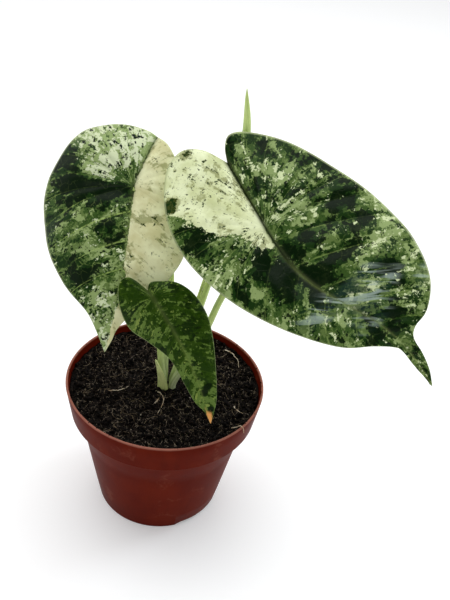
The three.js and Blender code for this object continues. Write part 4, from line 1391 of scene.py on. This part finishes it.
blade("blade_left", LEFT_LEAF, left_cream, leaf_finish("leaf_half_cream", LEFT_LEAF, LEFT_LOOK),
      "leaf_left")
blade("blade_right", RIGHT_LEAF, right_cream, leaf_finish("leaf_mottled", RIGHT_LEAF, RIGHT_LOOK),
      "leaf_right")
blade("blade_front", FRONT_LEAF, no_cream, leaf_finish("leaf_dark", FRONT_LEAF, FRONT_LOOK),
      "leaf_front")

# ---------- floor, lights and camera ----------


FLOOR_HALF_SIZE = 6
FLOOR_TONES = ((0.82, 0.82, 0.82, 1), (0.84, 0.84, 0.84, 1))
FLOOR_GLOW = 0.28
WORLD_SHADE = (0.24, 0.25, 0.26, 1)
WORLD_LIGHT = (0.9, 0.9, 0.9, 1)
CAMERA_PLACE = (0.0301, -0.3869, 0.4217)
CAMERA_PITCH = 34.77
CAMERA_ROLL = 6.83
LENS_LENGTH = 50
SENSOR_WIDTH = 36


def floor_piece():
    """A pale paper floor, which isn't part of the object."""
    bm = bmesh.new()
    bmesh.ops.create_grid(bm, x_segments=8, y_segments=8, size=FLOOR_HALF_SIZE)
    mesh = bpy.data.meshes.new("floor")
    bm.to_mesh(mesh)
    bm.free()
    floor = bpy.data.objects.new("floor", mesh)
    bpy.context.scene.collection.objects.link(floor)
    finish, tree, shader = new_finish("floor_paper", 0.9, 0.2)
    tone = field(tree, place_on(tree), 3, 2)
    join(tree, blend(tree, tone, *FLOOR_TONES), shader["Base Color"])
    shader["Emission Color"].default_value = (1, 1, 1, 1)
    shader["Emission Strength"].default_value = FLOOR_GLOW
    mesh.materials.append(finish)


def lamp(name, place, target, size, power, colour=(1, 1, 1)):
    light = bpy.data.lights.new(name, "AREA")
    light.shape = "SQUARE"
    light.size = size
    light.energy = power
    light.color = colour
    holder = bpy.data.objects.new(name, light)
    holder.location = place
    holder.rotation_euler = (Vector(target) - Vector(place)).to_track_quat("-Z", "Y").to_euler()
    bpy.context.scene.collection.objects.link(holder)


floor_piece()
lamp("overhead", place=(-0.1, 0.15, 1.3), target=(0, 0, 0.15), size=1.5, power=13)
lamp("window", place=(0.9, 0.5, 0.7), target=(0.05, 0, 0.2), size=0.35, power=3, colour=(0.85, 0.93, 1))

world = bpy.data.worlds.new("studio")
world.use_nodes = True
sky = world.node_tree
backdrop = sky.nodes["Background"].inputs
facing = add(sky, "SeparateXYZ", Vector=add(sky, "TexCoord").outputs["Generated"]).outputs
glow = calc(sky, "MAXIMUM", ramp(sky, facing["Y"], -0.4, 0.7), ramp(sky, facing["Z"], 0.35, 0.05))
join(sky, blend(sky, glow, WORLD_SHADE, WORLD_LIGHT), backdrop["Color"])
scene = bpy.context.scene
scene.world = world
scene.view_settings.view_transform = "Standard"

lens = bpy.data.cameras.new("camera")
lens.lens = LENS_LENGTH
lens.sensor_width = SENSOR_WIDTH
lens.clip_start = 0.01
camera = bpy.data.objects.new("camera", lens)
tilt = Matrix.Rotation(math.radians(90 - CAMERA_PITCH), 4, "X")
roll = Matrix.Rotation(math.radians(CAMERA_ROLL), 4, "Z")
camera.matrix_world = Matrix.Translation(CAMERA_PLACE) @ tilt @ roll
scene.collection.objects.link(camera)
scene.camera = camera
